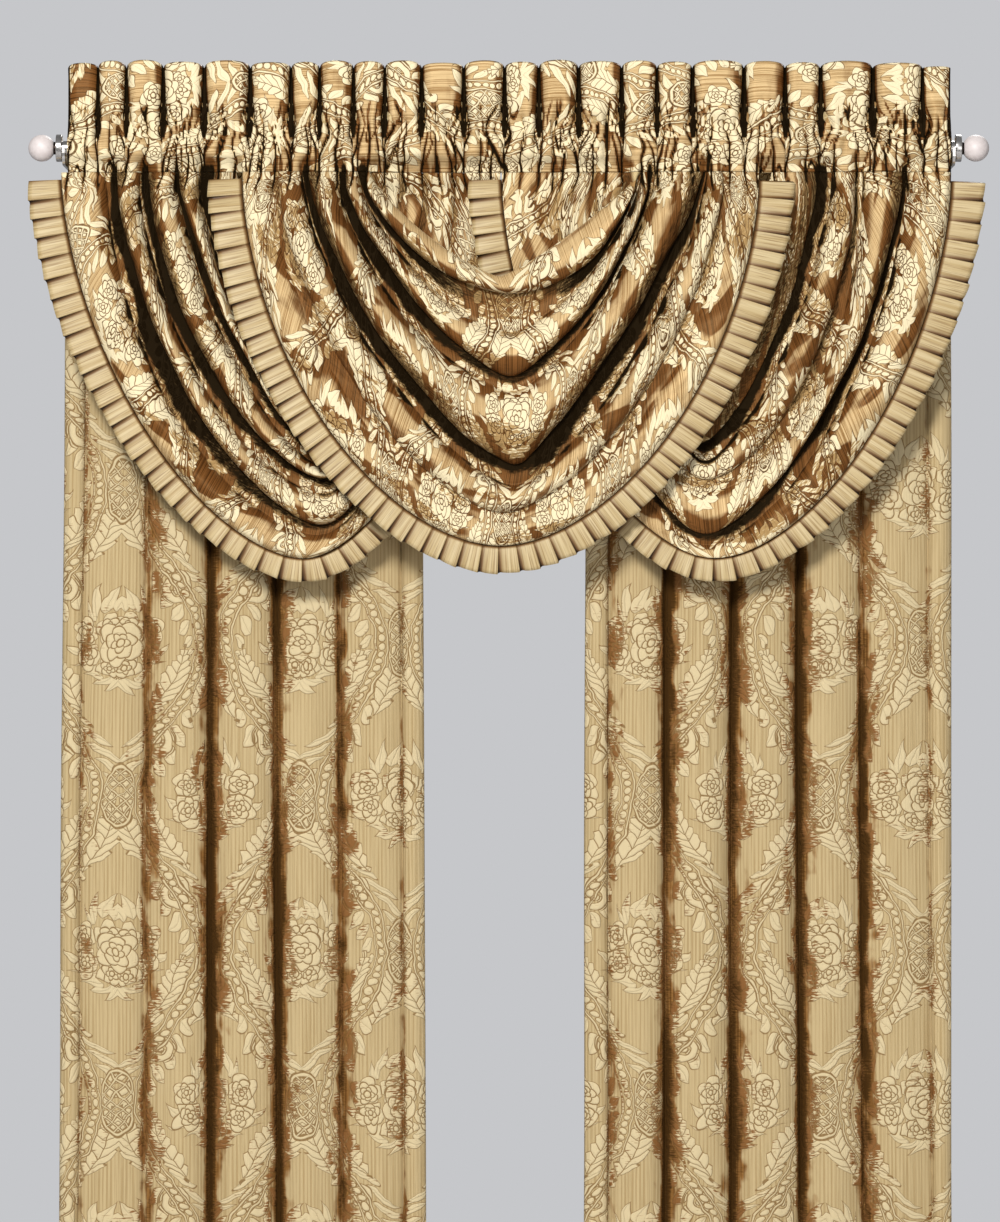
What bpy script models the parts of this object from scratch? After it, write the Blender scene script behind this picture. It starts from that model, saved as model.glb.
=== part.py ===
"""Swag and panel drape set on a double curtain rod.

Three overlapping swags with knife-pleated trim hang from one gathered heading on
the front rod, and two long side panels hang behind them on a slim back rod. Two
wall brackets hold both rods.

Frame: +X to the right as the room sees it, +Y towards the wall, +Z up. The wall
is the plane y = 0. The origin lies on it, midway between the brackets and level
with the front rod's axis. Tables and sizes are in millimetres, and MM turns them
into metres where a vertex or an object is placed.
"""
import math
from collections import namedtuple

import bmesh
import bpy
import numpy as np

MM = 0.001

# ---- driving dimensions, in millimetres ----

ROD_AXIS_Y = -135.0          # front rod, out from the wall
ROD_RADIUS = 12.5
ROD_HALF_LENGTH = 773.6
BACK_ROD_AXIS_Y = -55.0
BACK_ROD_RADIUS = 8.0
BACK_ROD_HALF_LENGTH = 776.0

COLLAR_RADIUS = 23.7
COLLAR_LENGTH = 10.5
NECK_RADIUS = 11.0
NECK_LENGTH = 4.5
BALL_RADIUS = 22.5

ARM_INNER_X = 768.6          # the bracket arm stands between heading and collar
ARM_THICKNESS = 4.7
ARM_TOP_Z = -9.5
ARM_BOTTOM_Z = -30.0
PLATE_WIDTH = 32.0
PLATE_TOP_Z = 32.0
PLATE_BOTTOM_Z = -62.0
PLATE_THICKNESS = 4.0
CRADLE_WALL = 5.0

HEADING_LEFT_X = -764.0
HEADER_TOP_Z = 149.0
HEADER_MID_Z = 78.0
HEADER_STITCH_Z = 40.0
HEADER_CLOTH = 3.0           # two layers of cloth, folded over at the top
POCKET_CLOTH = 2.2
POCKET_SHOULDER_Z = 24.0
POCKET_HIGH_Z = 5.0
POCKET_LOW_Z = -14.0
POCKET_BOTTOM_Z = -42.0
POCKET_FOLD = 7.0            # how far the gathers stand out over the rod
SEAM_HALF_DEPTH = 8.0        # the bottom seam holds the tops of the swags
BORE_BOTTOM_Z = -35.5
BORE_HALF_DEPTH = 14.7

CLOTH = 2.0
SEAM_Z = -42.6               # top edge of every swag, just under the heading

PLEAT_STEP_SHARE = 0.16      # share of a pleat's pitch that is its sharp return
PLEAT_LIFT = 6.5
PLEAT_LIFT_AT_SEAM = 1.0
PLEAT_TIP = 3.0              # the front edge of a pleat hangs lower by this much
TRIM_GAP = 0.7
TRIM_START = 12.0            # the trim starts this far below the swag's top edge

PANEL_HEM_Z = -1985.0
PANEL_LOOP_RADIUS = 11.3     # middle of the cloth that goes over the back rod
PANEL_LOOP_Z = 1.3           # raises the loop's centre until its top lies on the rod
PANEL_POCKET_Z = -42.0
PANEL_FOLD_DEPTH = 21.0
PANEL_LOOP_FOLD = 1.5

WALL_GAP = 0.3               # between faces that meet

# ---- tables ----

# One row for each fold of a swag, from its neckline down to its hem. A fold leaves
# the seam at left, dips to (low_x, low_z), and comes back to the seam at right.
# bend is the power of the curve: 1 is a straight V, 2 an ellipse. The last two
# columns say how far the fold stands out of the swag's back plane on each side.
Fold = namedtuple("Fold", "left right low_x low_z bend out_left out_right")

CENTRE_FOLDS = [
    Fold(-232, 200, -24, -208, 1.15, 3, 3),
    Fold(-239, 207, -24, -227, 1.15, 20, 20),
    Fold(-258, 229, -19, -284, 1.13, 3, 4),
    Fold(-277, 248, -15, -374, 1.11, 24, 22),
    Fold(-291, 264, -20, -409, 1.15, 2, 3),
    Fold(-318, 292, -20, -489, 1.35, 29, 27),
    Fold(-358, 330, -20, -537, 1.40, 2, 3),
    Fold(-407, 378, -20, -624, 1.25, 26, 25),
    Fold(-435, 408, -17, -662, 1.50, 9, 9),
    Fold(-460, 432, -15, -690, 1.77, 10, 10),
]
LEFT_FOLDS = [
    Fold(-473, -287, -362, -198, 1.30, 1, 0),
    Fold(-480, -280, -358, -215, 1.30, 8, 3),
    Fold(-523, -227, -317, -411, 1.40, 2, 0),
    Fold(-542, -202, -306, -475, 1.45, 22, 4),
    Fold(-563, -182, -310, -513, 1.60, 2, 0),
    Fold(-599, -157, -317, -558, 1.50, 25, 4),
    Fold(-629, -133, -327, -586, 1.55, 1, 0),
    Fold(-658, -105, -331, -624, 1.57, 24, 4),
    Fold(-688, -78, -336, -662, 1.60, 2, 0),
    Fold(-733, -43, -346, -690, 1.62, 17, 3),
    Fold(-775, -15, -355, -712, 1.66, 8, 1),
]
RIGHT_FOLDS = [
    Fold(262, 456, 335, -198, 1.30, 0, 1),
    Fold(255, 467, 331, -218, 1.30, 3, 8),
    Fold(227, 480, 321, -341, 1.40, 0, 2),
    Fold(196, 496, 307, -485, 1.45, 4, 24),
    Fold(169, 539, 311, -532, 1.60, 0, 1),
    Fold(141, 593, 314, -565, 1.50, 4, 25),
    Fold(110, 633, 321, -593, 1.55, 0, 6),
    Fold(75, 675, 331, -624, 1.60, 4, 23),
    Fold(47, 695, 338, -655, 1.62, 0, 2),
    Fold(16, 733, 349, -686, 1.68, 3, 15),
    Fold(-12, 766, 357, -711, 1.72, 1, 8),
]

# back_y: where the swag's back plane meets the seam. out_left and out_right: how far
# that plane moves out from the wall below the seam on each side, within out_drop.
# at_seam: the share of its depth that a fold has at the seam; it opens to its whole
# depth within fold_drop. steps: spans along a fold. span_pleats: the trim's pleats on
# each span. trim_side and trim_low: the trim's width.
Swag = namedtuple(
    "Swag",
    "name folds steps back_y out_left out_right out_drop at_seam fold_drop span_pleats trim_side trim_low")

SWAGS = [
    Swag("left", LEFT_FOLDS, 20, -128.5, 0, -16, 36, 0.25, 70, 3, 58, 40),
    Swag("right", RIGHT_FOLDS, 20, -135.5, 0, 0, 45, 0.12, 70, 3, 58, 40),
    Swag("centre", CENTRE_FOLDS, 28, -140.0, 29, 29, 75, 0.3, 70, 2, 60, 47),
]

# One row for each gathered tube of the header, from left to right: its width, how
# far its top stands above or below the header's height, and how far it bulges.
Tube = namedtuple("Tube", "width rise bulge")

HEADER_TUBES = [
    Tube(52, -2, 8), Tube(49, 1, 17), Tube(64, 2, 19), Tube(71, -1, 18), Tube(80, 1, 21),
    Tube(71, -2, 19), Tube(49, -1, 16), Tube(59, 1, 18), Tube(54, 0, 17), Tube(64, 1, 19),
    Tube(73, -3, 19), Tube(71, 1, 20), Tube(59, -1, 18), Tube(69, 2, 20), Tube(75, 0, 20),
    Tube(61, 1, 18), Tube(61, -1, 19), Tube(90, 1, 22), Tube(71, 0, 19), Tube(61, -2, 18),
    Tube(91, 0, 22), Tube(87, -3, 20), Tube(48, -8, 8),
]
TUBE_STATIONS = [0.0, 0.16, 0.5, 0.84]

# One row for each valley between a panel's folds: where it lies at the back rod and
# at the hem, and how much of the fold depth it takes.
Valley = namedtuple("Valley", "top_x hem_x depth")

LEFT_VALLEYS = [
    Valley(-764, -778, 0.35), Valley(-728, -741, 0.45), Valley(-622, -632, 0.9),
    Valley(-516, -520, 1.0), Valley(-406, -401, 1.0), Valley(-300, -291, 0.9),
    Valley(-192, -181, 0.5), Valley(-152, -145, 0.3),
]
RIGHT_VALLEYS = [
    Valley(139, 132, 0.3), Valley(178, 173, 0.5), Valley(276, 269, 0.9),
    Valley(386, 383, 1.0), Valley(496, 503, 1.0), Valley(602, 611, 0.9),
    Valley(722, 737, 0.45), Valley(764, 766, 0.35),
]
VALLEY_STATIONS = [0.0, 0.13, 0.36, 0.64, 0.87]
PANEL_LEVELS = [-170.0, -500.0, -950.0, -1450.0, PANEL_HEM_Z]

# ---- small helpers ----


def clear_scene():
    """Remove whatever the file holds at the start."""
    for item in list(bpy.data.objects):
        bpy.data.objects.remove(item, do_unlink=True)


def make_material(name, colour, roughness, metallic=0.0):
    """A plain Principled material with the piece's own colour."""
    material = bpy.data.materials.new(name)
    material.use_nodes = True
    shader = material.node_tree.nodes["Principled BSDF"]
    shader.inputs["Base Color"].default_value = (*colour, 1.0)
    shader.inputs["Roughness"].default_value = roughness
    shader.inputs["Metallic"].default_value = metallic
    material.diffuse_color = (*colour, 1.0)
    return material


def add_object(name, mesh, material):
    """Put a mesh in the scene as one named sub-part, shaded smooth over its folds."""
    item = bpy.data.objects.new(name, mesh)
    bpy.context.scene.collection.objects.link(item)
    mesh.materials.append(material)
    mesh.shade_smooth()
    mesh.set_sharp_from_angle(angle=math.radians(50))
    return item


def ease(share):
    """0 to 1 with a soft start and end."""
    share = min(max(share, 0.0), 1.0)
    return share * share * (3.0 - 2.0 * share)


def mix(first, second, share):
    return first + (second - first) * share


def grid_mesh(name, rows):
    """A sheet's middle surface from rows of (x, y, z) points in millimetres."""
    count = len(rows[0])
    points = [tuple(value * MM for value in point) for row in rows for point in row]
    faces = []
    for row in range(len(rows) - 1):
        for column in range(count - 1):
            corner = row * count + column
            faces.append((corner, corner + 1, corner + count + 1, corner + count))
    mesh = bpy.data.meshes.new(name)
    mesh.from_pydata(points, [], faces)
    return mesh


def thicken(item, thickness):
    """Give a sheet its thickness, half to each side of its middle surface."""
    solidify = item.modifiers.new("cloth thickness", "SOLIDIFY")
    solidify.thickness = thickness * MM
    solidify.offset = 0.0
    return item


# ---- swags ----


def fold_line(fold, steps):
    """Points (x, z) evenly along a fold's curve, from the seam to the low point and back."""
    fine = np.linspace(0.0, math.pi / 2, 160)
    across = np.cos(fine) ** (2.0 / fold.bend)
    down = np.sin(fine) ** (2.0 / fold.bend)
    drop = SEAM_Z - fold.low_z
    halves = []
    for top_x in (fold.left, fold.right):
        x = fold.low_x + (top_x - fold.low_x) * across
        z = SEAM_Z - drop * down
        length = np.concatenate(([0.0], np.cumsum(np.hypot(np.diff(x), np.diff(z)))))
        even = np.linspace(0.0, length[-1], steps // 2 + 1)
        halves.append(list(zip(np.interp(even, length, x), np.interp(even, length, z))))
    left_half, right_half = halves
    return left_half + right_half[-2::-1]


def fold_between(first, second, share):
    """The fold part way between two rows of the table, with a rounded rise and fall."""
    values = [mix(a, b, share) for a, b in zip(first, second)]
    blended = Fold(*values)
    return blended._replace(
        out_left=mix(first.out_left, second.out_left, ease(share)),
        out_right=mix(first.out_right, second.out_right, ease(share)),
    )


def swag_folds(swag):
    """The table's folds with one more between each pair."""
    folds = [swag.folds[0]]
    for first, second in zip(swag.folds, swag.folds[1:]):
        folds.append(fold_between(first, second, 0.5))
        folds.append(second)
    return folds


def swag_row(swag, fold):
    """One fold's points in space: its curve, set out from the seam's plane."""
    points = []
    for step, (x, z) in enumerate(fold_line(fold, swag.steps)):
        drop = SEAM_Z - z
        side = ease((step / swag.steps - 0.4) / 0.35)
        out = mix(fold.out_left, fold.out_right, side)
        plane_out = mix(swag.out_left, swag.out_right, side)
        plane = swag.back_y - plane_out * ease(drop / swag.out_drop)
        opened = mix(swag.at_seam, 1.0, ease(drop / swag.fold_drop))
        points.append((x, plane - out * opened, z))
    return points


def make_swag(swag, material):
    rows = [swag_row(swag, fold) for fold in swag_folds(swag)]
    item = add_object("swag_" + swag.name, grid_mesh("swag_" + swag.name, rows), material)
    return thicken(item, CLOTH)


# ---- trims ----


def outward_normals(points):
    """Unit directions (x, z) away from the swag at each point of its hem."""
    tangents = np.gradient(points, axis=0)
    normals = np.stack((tangents[:, 2], np.zeros(len(points)), -tangents[:, 0]), axis=1)
    normals /= np.linalg.norm(normals, axis=1)[:, None]
    normals[:, 2] = np.minimum(normals[:, 2], 0.0)
    return normals


def trim_columns(swag):
    """Pairs of inner and outer points for each edge of each knife pleat.

    Each of the hem's straight spans carries a whole number of pleats, so that the
    trim's inner edge turns exactly where the hem does.
    """
    points = np.array(swag_row(swag, swag.folds[-1]))
    normals = outward_normals(points)
    end_share = TRIM_START / np.linalg.norm(points[1] - points[0])
    columns = []
    for span in range(swag.steps):
        low = end_share if span == 0 else 0.0
        high = 1.0 - end_share if span == swag.steps - 1 else 1.0
        for pleat in range(swag.span_pleats):
            for edge, raised in ((0.0, 0.0), (1.0 - PLEAT_STEP_SHARE, 1.0)):
                share = mix(low, high, (pleat + edge) / swag.span_pleats)
                place = mix(points[span], points[span + 1], share)
                outward = mix(normals[span], normals[span + 1], share)
                lowness = math.sin(math.pi * (span + share) / swag.steps) ** 2
                width = mix(swag.trim_side, swag.trim_low, lowness) + PLEAT_TIP * raised
                inner = place + outward * TRIM_GAP
                outer = place + outward * width
                inner[1] -= PLEAT_LIFT_AT_SEAM * raised
                outer[1] -= PLEAT_LIFT * raised
                columns.append((tuple(inner), tuple(outer)))
    return columns


def make_trim(swag, material):
    columns = trim_columns(swag)
    rows = [[pair[0] for pair in columns], [pair[1] for pair in columns]]
    item = add_object("trim_" + swag.name, grid_mesh("trim_" + swag.name, rows), material)
    return thicken(item, CLOTH)


# ---- heading ----


def heading_stations():
    """x, wave from 0 in a gap to 1 on a tube, rise and bulge, along the heading."""
    stations = []
    left = HEADING_LEFT_X
    for tube in HEADER_TUBES:
        for share in TUBE_STATIONS:
            wave = math.sin(math.pi * share) ** 0.5
            stations.append((left + share * tube.width, wave, tube.rise * wave, tube.bulge))
        left += tube.width
    stations.append((left, 0.0, 0.0, HEADER_TUBES[-1].bulge))
    return stations


def heading_outline(wave, rise, bulge):
    """The heading's section at one station, as a closed loop of (y, z)."""
    half = HEADER_CLOTH / 2
    ruffle_y = ROD_AXIS_Y + 6.0 - 1.3 * bulge * wave
    stitch_y = ROD_AXIS_Y + 2.0 - 6.0 * wave
    shoulder_front = ROD_AXIS_Y - 4.0 - POCKET_FOLD * wave
    shoulder_back = ROD_AXIS_Y + 4.0
    front = ROD_AXIS_Y - BORE_HALF_DEPTH - POCKET_CLOTH - POCKET_FOLD * wave
    back = ROD_AXIS_Y + BORE_HALF_DEPTH + POCKET_CLOTH
    top_z = HEADER_TOP_Z + rise
    return [
        (ruffle_y - half, top_z), (ruffle_y - half, HEADER_MID_Z), (stitch_y - half, HEADER_STITCH_Z),
        (shoulder_front, POCKET_SHOULDER_Z), (front, POCKET_HIGH_Z), (front, POCKET_LOW_Z),
        (ROD_AXIS_Y - SEAM_HALF_DEPTH, POCKET_BOTTOM_Z), (ROD_AXIS_Y + SEAM_HALF_DEPTH, POCKET_BOTTOM_Z),
        (back, POCKET_LOW_Z), (back, POCKET_HIGH_Z), (shoulder_back, POCKET_SHOULDER_Z),
        (stitch_y + half, HEADER_STITCH_Z), (ruffle_y + half, HEADER_MID_Z), (ruffle_y + half, top_z),
    ]


def heading_bore(wave):
    """The pocket's inside at one station, as a closed loop of (y, z).

    Its roof is two slopes that lie on the rod's upper sides in the gathers' hollows.
    """
    roof_z = (ROD_RADIUS + WALL_GAP) * math.sqrt(2.0)
    front = ROD_AXIS_Y - BORE_HALF_DEPTH - POCKET_FOLD * wave
    back = ROD_AXIS_Y + BORE_HALF_DEPTH
    slope_z = roof_z - BORE_HALF_DEPTH
    return [
        (ROD_AXIS_Y, roof_z), (front, slope_z), (front, POCKET_LOW_Z),
        (ROD_AXIS_Y, BORE_BOTTOM_Z), (back, POCKET_LOW_Z), (back, slope_z),
    ]


def heading_end_faces(outer, bore):
    """The ring of faces that closes one end of the heading around its pocket."""
    return [
        (outer[0], outer[1], outer[12], outer[13]),
        (outer[1], outer[2], outer[11], outer[12]),
        (outer[2], outer[3], outer[10], outer[11]),
        (outer[3], bore[0], outer[10]),
        (outer[3], outer[4], bore[1], bore[0]),
        (outer[4], outer[5], bore[2], bore[1]),
        (outer[5], outer[6], bore[3], bore[2]),
        (outer[6], outer[7], bore[3]),
        (outer[7], outer[8], bore[4], bore[3]),
        (outer[8], outer[9], bore[5], bore[4]),
        (outer[9], outer[10], bore[0], bore[5]),
    ]


def make_heading(material):
    """One closed strip: a wavy ruffle of two layers above a pocket for the rod."""
    body = bmesh.new()
    rings = []
    for x, wave, rise, bulge in heading_stations():
        outer = [body.verts.new((x * MM, y * MM, z * MM)) for y, z in heading_outline(wave, rise, bulge)]
        bore = [body.verts.new((x * MM, y * MM, z * MM)) for y, z in heading_bore(wave)]
        rings.append((outer, bore))
    for (outer, bore), (next_outer, next_bore) in zip(rings, rings[1:]):
        for loop, next_loop in ((outer, next_outer), (bore, next_bore)):
            for corner in range(len(loop)):
                after = (corner + 1) % len(loop)
                body.faces.new((loop[corner], loop[after], next_loop[after], next_loop[corner]))
    for outer, bore in (rings[0], rings[-1]):
        for face in heading_end_faces(outer, bore):
            body.faces.new(face)
    bmesh.ops.recalc_face_normals(body, faces=body.faces)
    mesh = bpy.data.meshes.new("heading")
    body.to_mesh(mesh)
    body.free()
    return add_object("heading", mesh, material)


# ---- side panels ----


def panel_stations(valleys):
    """Where each column stands at the rod and at the hem, and its depth from 0 to 1."""
    stations = []
    for first, second in zip(valleys, valleys[1:]):
        for share in VALLEY_STATIONS:
            valley_depth = mix(first.depth, second.depth, share)
            crest = math.sin(math.pi * share) ** 0.6
            top_x = mix(first.top_x, second.top_x, share)
            hem_x = mix(first.hem_x, second.hem_x, share)
            stations.append((top_x, hem_x, (2.0 * crest - 1.0) * valley_depth))
    last = valleys[-1]
    stations.append((last.top_x, last.hem_x, -last.depth))
    return stations


def panel_column(top_x, hem_x, crest):
    """A column of cloth: up behind the back rod, over it, and down to the hem."""
    gather = PANEL_LOOP_FOLD * (crest + 1.0)
    reach = PANEL_LOOP_RADIUS
    back_y = BACK_ROD_AXIS_Y + reach
    front_y = BACK_ROD_AXIS_Y - reach - gather
    slant = reach * math.sin(math.radians(45))
    points = [
        (top_x, BACK_ROD_AXIS_Y - 1.0, PANEL_POCKET_Z),
        (top_x, back_y, -6.0),
        (top_x, back_y, PANEL_LOOP_Z),
        (top_x, BACK_ROD_AXIS_Y + slant, PANEL_LOOP_Z + slant),
        (top_x, BACK_ROD_AXIS_Y - slant - gather, PANEL_LOOP_Z + slant),
        (top_x, front_y, PANEL_LOOP_Z),
        (top_x, front_y, -6.0),
        (top_x, BACK_ROD_AXIS_Y - 5.0 - gather, PANEL_POCKET_Z),
    ]
    for level in PANEL_LEVELS:
        share = (level - PANEL_POCKET_Z) / (PANEL_HEM_Z - PANEL_POCKET_Z)
        points.append((mix(top_x, hem_x, share), BACK_ROD_AXIS_Y - PANEL_FOLD_DEPTH * crest, level))
    return points


def make_panel(name, valleys, material):
    rows = [panel_column(*station) for station in panel_stations(valleys)]
    item = add_object("panel_" + name, grid_mesh("panel_" + name, rows), material)
    return thicken(item, CLOTH)


# ---- rods, finials and brackets ----


def turned_mesh(name, profile, segments, side):
    """A solid turned about the X axis from (x, radius) points, closed at both ends."""
    body = bmesh.new()
    rings = []
    for x, radius in profile:
        if radius == 0.0:
            rings.append([body.verts.new((side * x * MM, 0.0, 0.0))])
            continue
        ring = []
        for step in range(segments):
            angle = 2.0 * math.pi * step / segments
            ring.append(body.verts.new((
                side * x * MM, radius * math.cos(angle) * MM, radius * math.sin(angle) * MM)))
        rings.append(ring)
    for first, second in zip(rings, rings[1:]):
        for step in range(segments):
            after = (step + 1) % segments
            corners = [first[step % len(first)], first[after % len(first)],
                       second[after % len(second)], second[step % len(second)]]
            body.faces.new(list(dict.fromkeys(corners)))
    for ring in (rings[0], rings[-1]):
        if len(ring) > 1:
            body.faces.new(ring)
    bmesh.ops.recalc_face_normals(body, faces=body.faces)
    mesh = bpy.data.meshes.new(name)
    body.to_mesh(mesh)
    body.free()
    return mesh


def make_rod(name, axis_y, radius, half_length, segments, material):
    profile = [(-half_length, radius), (half_length, radius)]
    item = add_object(name, turned_mesh(name, profile, segments, 1), material)
    item.location = (0.0, axis_y * MM, 0.0)
    return item


def make_finial(name, side, metal, glass):
    """A turned collar with its thin neck, and the glass ball beyond it."""
    start = ROD_HALF_LENGTH + WALL_GAP
    face = start + COLLAR_LENGTH
    tip = face + NECK_LENGTH
    collar = [
        (start, COLLAR_RADIUS - 2.0), (start + 1.5, COLLAR_RADIUS), (face - 1.5, COLLAR_RADIUS),
        (face, COLLAR_RADIUS - 2.0), (face, NECK_RADIUS), (tip, NECK_RADIUS),
    ]
    item = add_object("finial_collar_" + name, turned_mesh("collar", collar, 28, side), metal)
    item.location = (0.0, ROD_AXIS_Y * MM, 0.0)
    flat = math.sqrt(BALL_RADIUS ** 2 - NECK_RADIUS ** 2)
    centre = tip + WALL_GAP + flat
    start_angle = math.asin(NECK_RADIUS / BALL_RADIUS)
    ball = []
    for step in range(11):
        angle = mix(start_angle, math.pi, step / 10)
        radius = BALL_RADIUS * math.sin(angle) if step < 10 else 0.0
        ball.append((centre - BALL_RADIUS * math.cos(angle), radius))
    item = add_object("finial_ball_" + name, turned_mesh("ball", ball, 22, side), glass)
    item.location = (0.0, ROD_AXIS_Y * MM, 0.0)


def cradle(axis_y, radius):
    """Half-round seat for a rod, as (y, z) points from its far lip to its near lip."""
    seat = radius + WALL_GAP
    points = []
    for step in range(9):
        angle = math.radians(mix(0.0, -180.0, step / 8))
        points.append((axis_y + seat * math.cos(angle), seat * math.sin(angle)))
    return points


def bracket_outline():
    """The arm's side view as (y, z): wall end, two cradles along its top, rounded tip."""
    outer = ROD_RADIUS + WALL_GAP + CRADLE_WALL
    wall_y = -PLATE_THICKNESS
    top = []
    for axis_y, radius in ((BACK_ROD_AXIS_Y, BACK_ROD_RADIUS), (ROD_AXIS_Y, ROD_RADIUS)):
        lip = radius + WALL_GAP + CRADLE_WALL
        top.append((axis_y + lip, ARM_TOP_Z))
        top.append((axis_y + lip, 0.0))
        top.extend(cradle(axis_y, radius))
        top.append((axis_y - lip, 0.0))
        if axis_y == BACK_ROD_AXIS_Y:
            top.append((axis_y - lip, ARM_TOP_Z))
    tip = []
    for step in range(1, 7):
        angle = math.radians(mix(180.0, 270.0, step / 6))
        tip.append((ROD_AXIS_Y + outer * math.cos(angle), ARM_TOP_Z + (ARM_TOP_Z - ARM_BOTTOM_Z) * math.sin(angle)))
    return [(wall_y, ARM_TOP_Z)] + top + [(ROD_AXIS_Y - outer, ARM_TOP_Z)] + tip + [(wall_y, ARM_BOTTOM_Z)]


def extruded(name, outline, x_low, x_high):
    """A flat outline in (y, z) extruded along X."""
    body = bmesh.new()
    face = body.faces.new([body.verts.new((x_low * MM, y * MM, z * MM)) for y, z in outline])
    pushed = bmesh.ops.extrude_face_region(body, geom=[face])
    for vert in [v for v in pushed["geom"] if isinstance(v, bmesh.types.BMVert)]:
        vert.co.x = x_high * MM
    bmesh.ops.recalc_face_normals(body, faces=body.faces)
    mesh = bpy.data.meshes.new(name)
    body.to_mesh(mesh)
    body.free()
    return mesh


def make_bracket(name, side, material):
    """A wall plate and an arm with two cradles, welded into one piece."""
    inner = side * ARM_INNER_X
    outer = side * (ARM_INNER_X + ARM_THICKNESS)
    item = add_object("bracket_" + name, extruded("bracket", bracket_outline(), inner, outer), material)
    plate_outline = [
        (0.0, PLATE_TOP_Z), (-PLATE_THICKNESS, PLATE_TOP_Z),
        (-PLATE_THICKNESS - 0.5, ARM_TOP_Z), (-PLATE_THICKNESS - 0.5, ARM_BOTTOM_Z),
        (-PLATE_THICKNESS, PLATE_BOTTOM_Z), (0.0, PLATE_BOTTOM_Z),
    ]
    plate = bpy.data.objects.new("plate_cutter_" + name, extruded(
        "plate", plate_outline, outer - side * PLATE_WIDTH, outer + side * 1.0))
    bpy.context.scene.collection.objects.link(plate)
    plate.hide_render = True
    plate.display_type = "WIRE"
    union = item.modifiers.new("wall plate", "BOOLEAN")
    union.operation = "UNION"
    union.solver = "EXACT"
    union.object = plate
    return item


# ---- assembly ----


def main():
    clear_scene()
    cloth = make_material("gold jacquard", (0.62, 0.43, 0.18), 0.5)
    panel_cloth = make_material("matt gold jacquard", (0.60, 0.46, 0.24), 0.7)
    trim_cloth = make_material("ribbed gold satin", (0.58, 0.42, 0.20), 0.55)
    steel = make_material("brushed nickel", (0.72, 0.72, 0.70), 0.25, 1.0)
    glass = make_material("polished glass", (0.90, 0.86, 0.84), 0.05)
    make_heading(cloth)
    for swag in SWAGS:
        make_swag(swag, cloth)
        make_trim(swag, trim_cloth)
    make_panel("left", LEFT_VALLEYS, panel_cloth)
    make_panel("right", RIGHT_VALLEYS, panel_cloth)
    make_rod("rod_front", ROD_AXIS_Y, ROD_RADIUS, ROD_HALF_LENGTH, 28, steel)
    make_rod("rod_back", BACK_ROD_AXIS_Y, BACK_ROD_RADIUS, BACK_ROD_HALF_LENGTH, 20, steel)
    for name, side in (("left", -1), ("right", 1)):
        make_finial(name, side, steel, glass)
        make_bracket(name, side, steel)


main()
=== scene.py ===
"""Swag and panel drape on a double curtain rod, with its cloth, trim and metal dressed.

Three overlapping swags with knife-pleated trim hang from one gathered heading on
the front rod, and two long side panels hang behind them on a slim back rod.

Frame: +X to the right as the room sees it, +Y towards the wall, +Z up, in metres.
The wall is the plane y = 0. The origin lies on it, midway between the brackets and
level with the front rod's axis. Tables and sizes are in millimetres, and MM turns
them into metres where a mesh is made.
"""

import logging
import math
from dataclasses import dataclass, replace
from enum import Enum
from functools import partial
from typing import Callable

import bpy
import numpy as np
from mathutils import Matrix


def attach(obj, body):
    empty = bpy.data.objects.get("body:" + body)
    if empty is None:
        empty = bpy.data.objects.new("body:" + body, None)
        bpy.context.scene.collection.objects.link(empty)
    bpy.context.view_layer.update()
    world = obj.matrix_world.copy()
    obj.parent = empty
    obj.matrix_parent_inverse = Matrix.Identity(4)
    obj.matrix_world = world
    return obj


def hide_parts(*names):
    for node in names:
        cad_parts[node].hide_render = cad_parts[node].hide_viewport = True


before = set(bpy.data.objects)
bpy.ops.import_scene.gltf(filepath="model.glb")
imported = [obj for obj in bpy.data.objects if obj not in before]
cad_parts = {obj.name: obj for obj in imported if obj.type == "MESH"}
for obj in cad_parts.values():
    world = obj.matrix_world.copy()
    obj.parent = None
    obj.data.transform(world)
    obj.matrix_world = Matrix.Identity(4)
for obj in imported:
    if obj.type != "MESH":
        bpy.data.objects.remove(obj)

LOG = logging.getLogger("drape")
MM = 0.001
Material = bpy.types.Material
Socket = bpy.types.NodeSocket
Numbers = np.ndarray | float

ROD_AXIS_Y = -135.0
ROD_END_X = 773.9            # the finial collar starts here
BACK_ROD_AXIS_Y = -55.0
SEAM_Z = -42.6               # the swags are sewn on just under the heading
HEADING_LEFT = -764.0
HEADING_FOOT_Z = -42.0
TRIM_START = 12.0            # how far from each end of the hem the trim starts
JACQUARD_THICK = 1.4
HEADING_THICK = 1.2
TRIM_THICK = 1.2

# Reliefs are read at places over 0, so these lengths are added: for a swag to its first
# length, for the heading and the panels to x and to z.
SWAG_READ = 2000.0
HEADING_READ = (900.0, 200.0)
PANEL_READ = (2000.0, 3000.0)


class Held(Enum):
    """How a sheet of cloth is held."""

    DRAPED = "draped"
    HUNG = "hung"
    GATHERED = "gathered"


class Slot(Enum):
    """Names for the pieces' material slots."""

    SWAG = "swag_jacquard"
    PANEL = "panel_jacquard"
    TRIM = "ribbed_satin"
    METAL = "nickel"
    GLASS = "crystal"


# ---- small helpers ----


def linear(colour: str) -> tuple[float, float, float, float]:
    """Turn an sRGB hex colour into the linear one that a shader takes.

    Args:
        colour: Six hex digits after a #.

    Returns:
        Linear red, green, blue and an alpha of 1.
    """
    parts = [int(colour[at:at + 2], 16) / 255 for at in (1, 3, 5)]
    straight = [part / 12.92 if part <= 0.04045 else ((part + 0.055) / 1.055) ** 2.4 for part in parts]
    return (*straight, 1.0)


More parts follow.
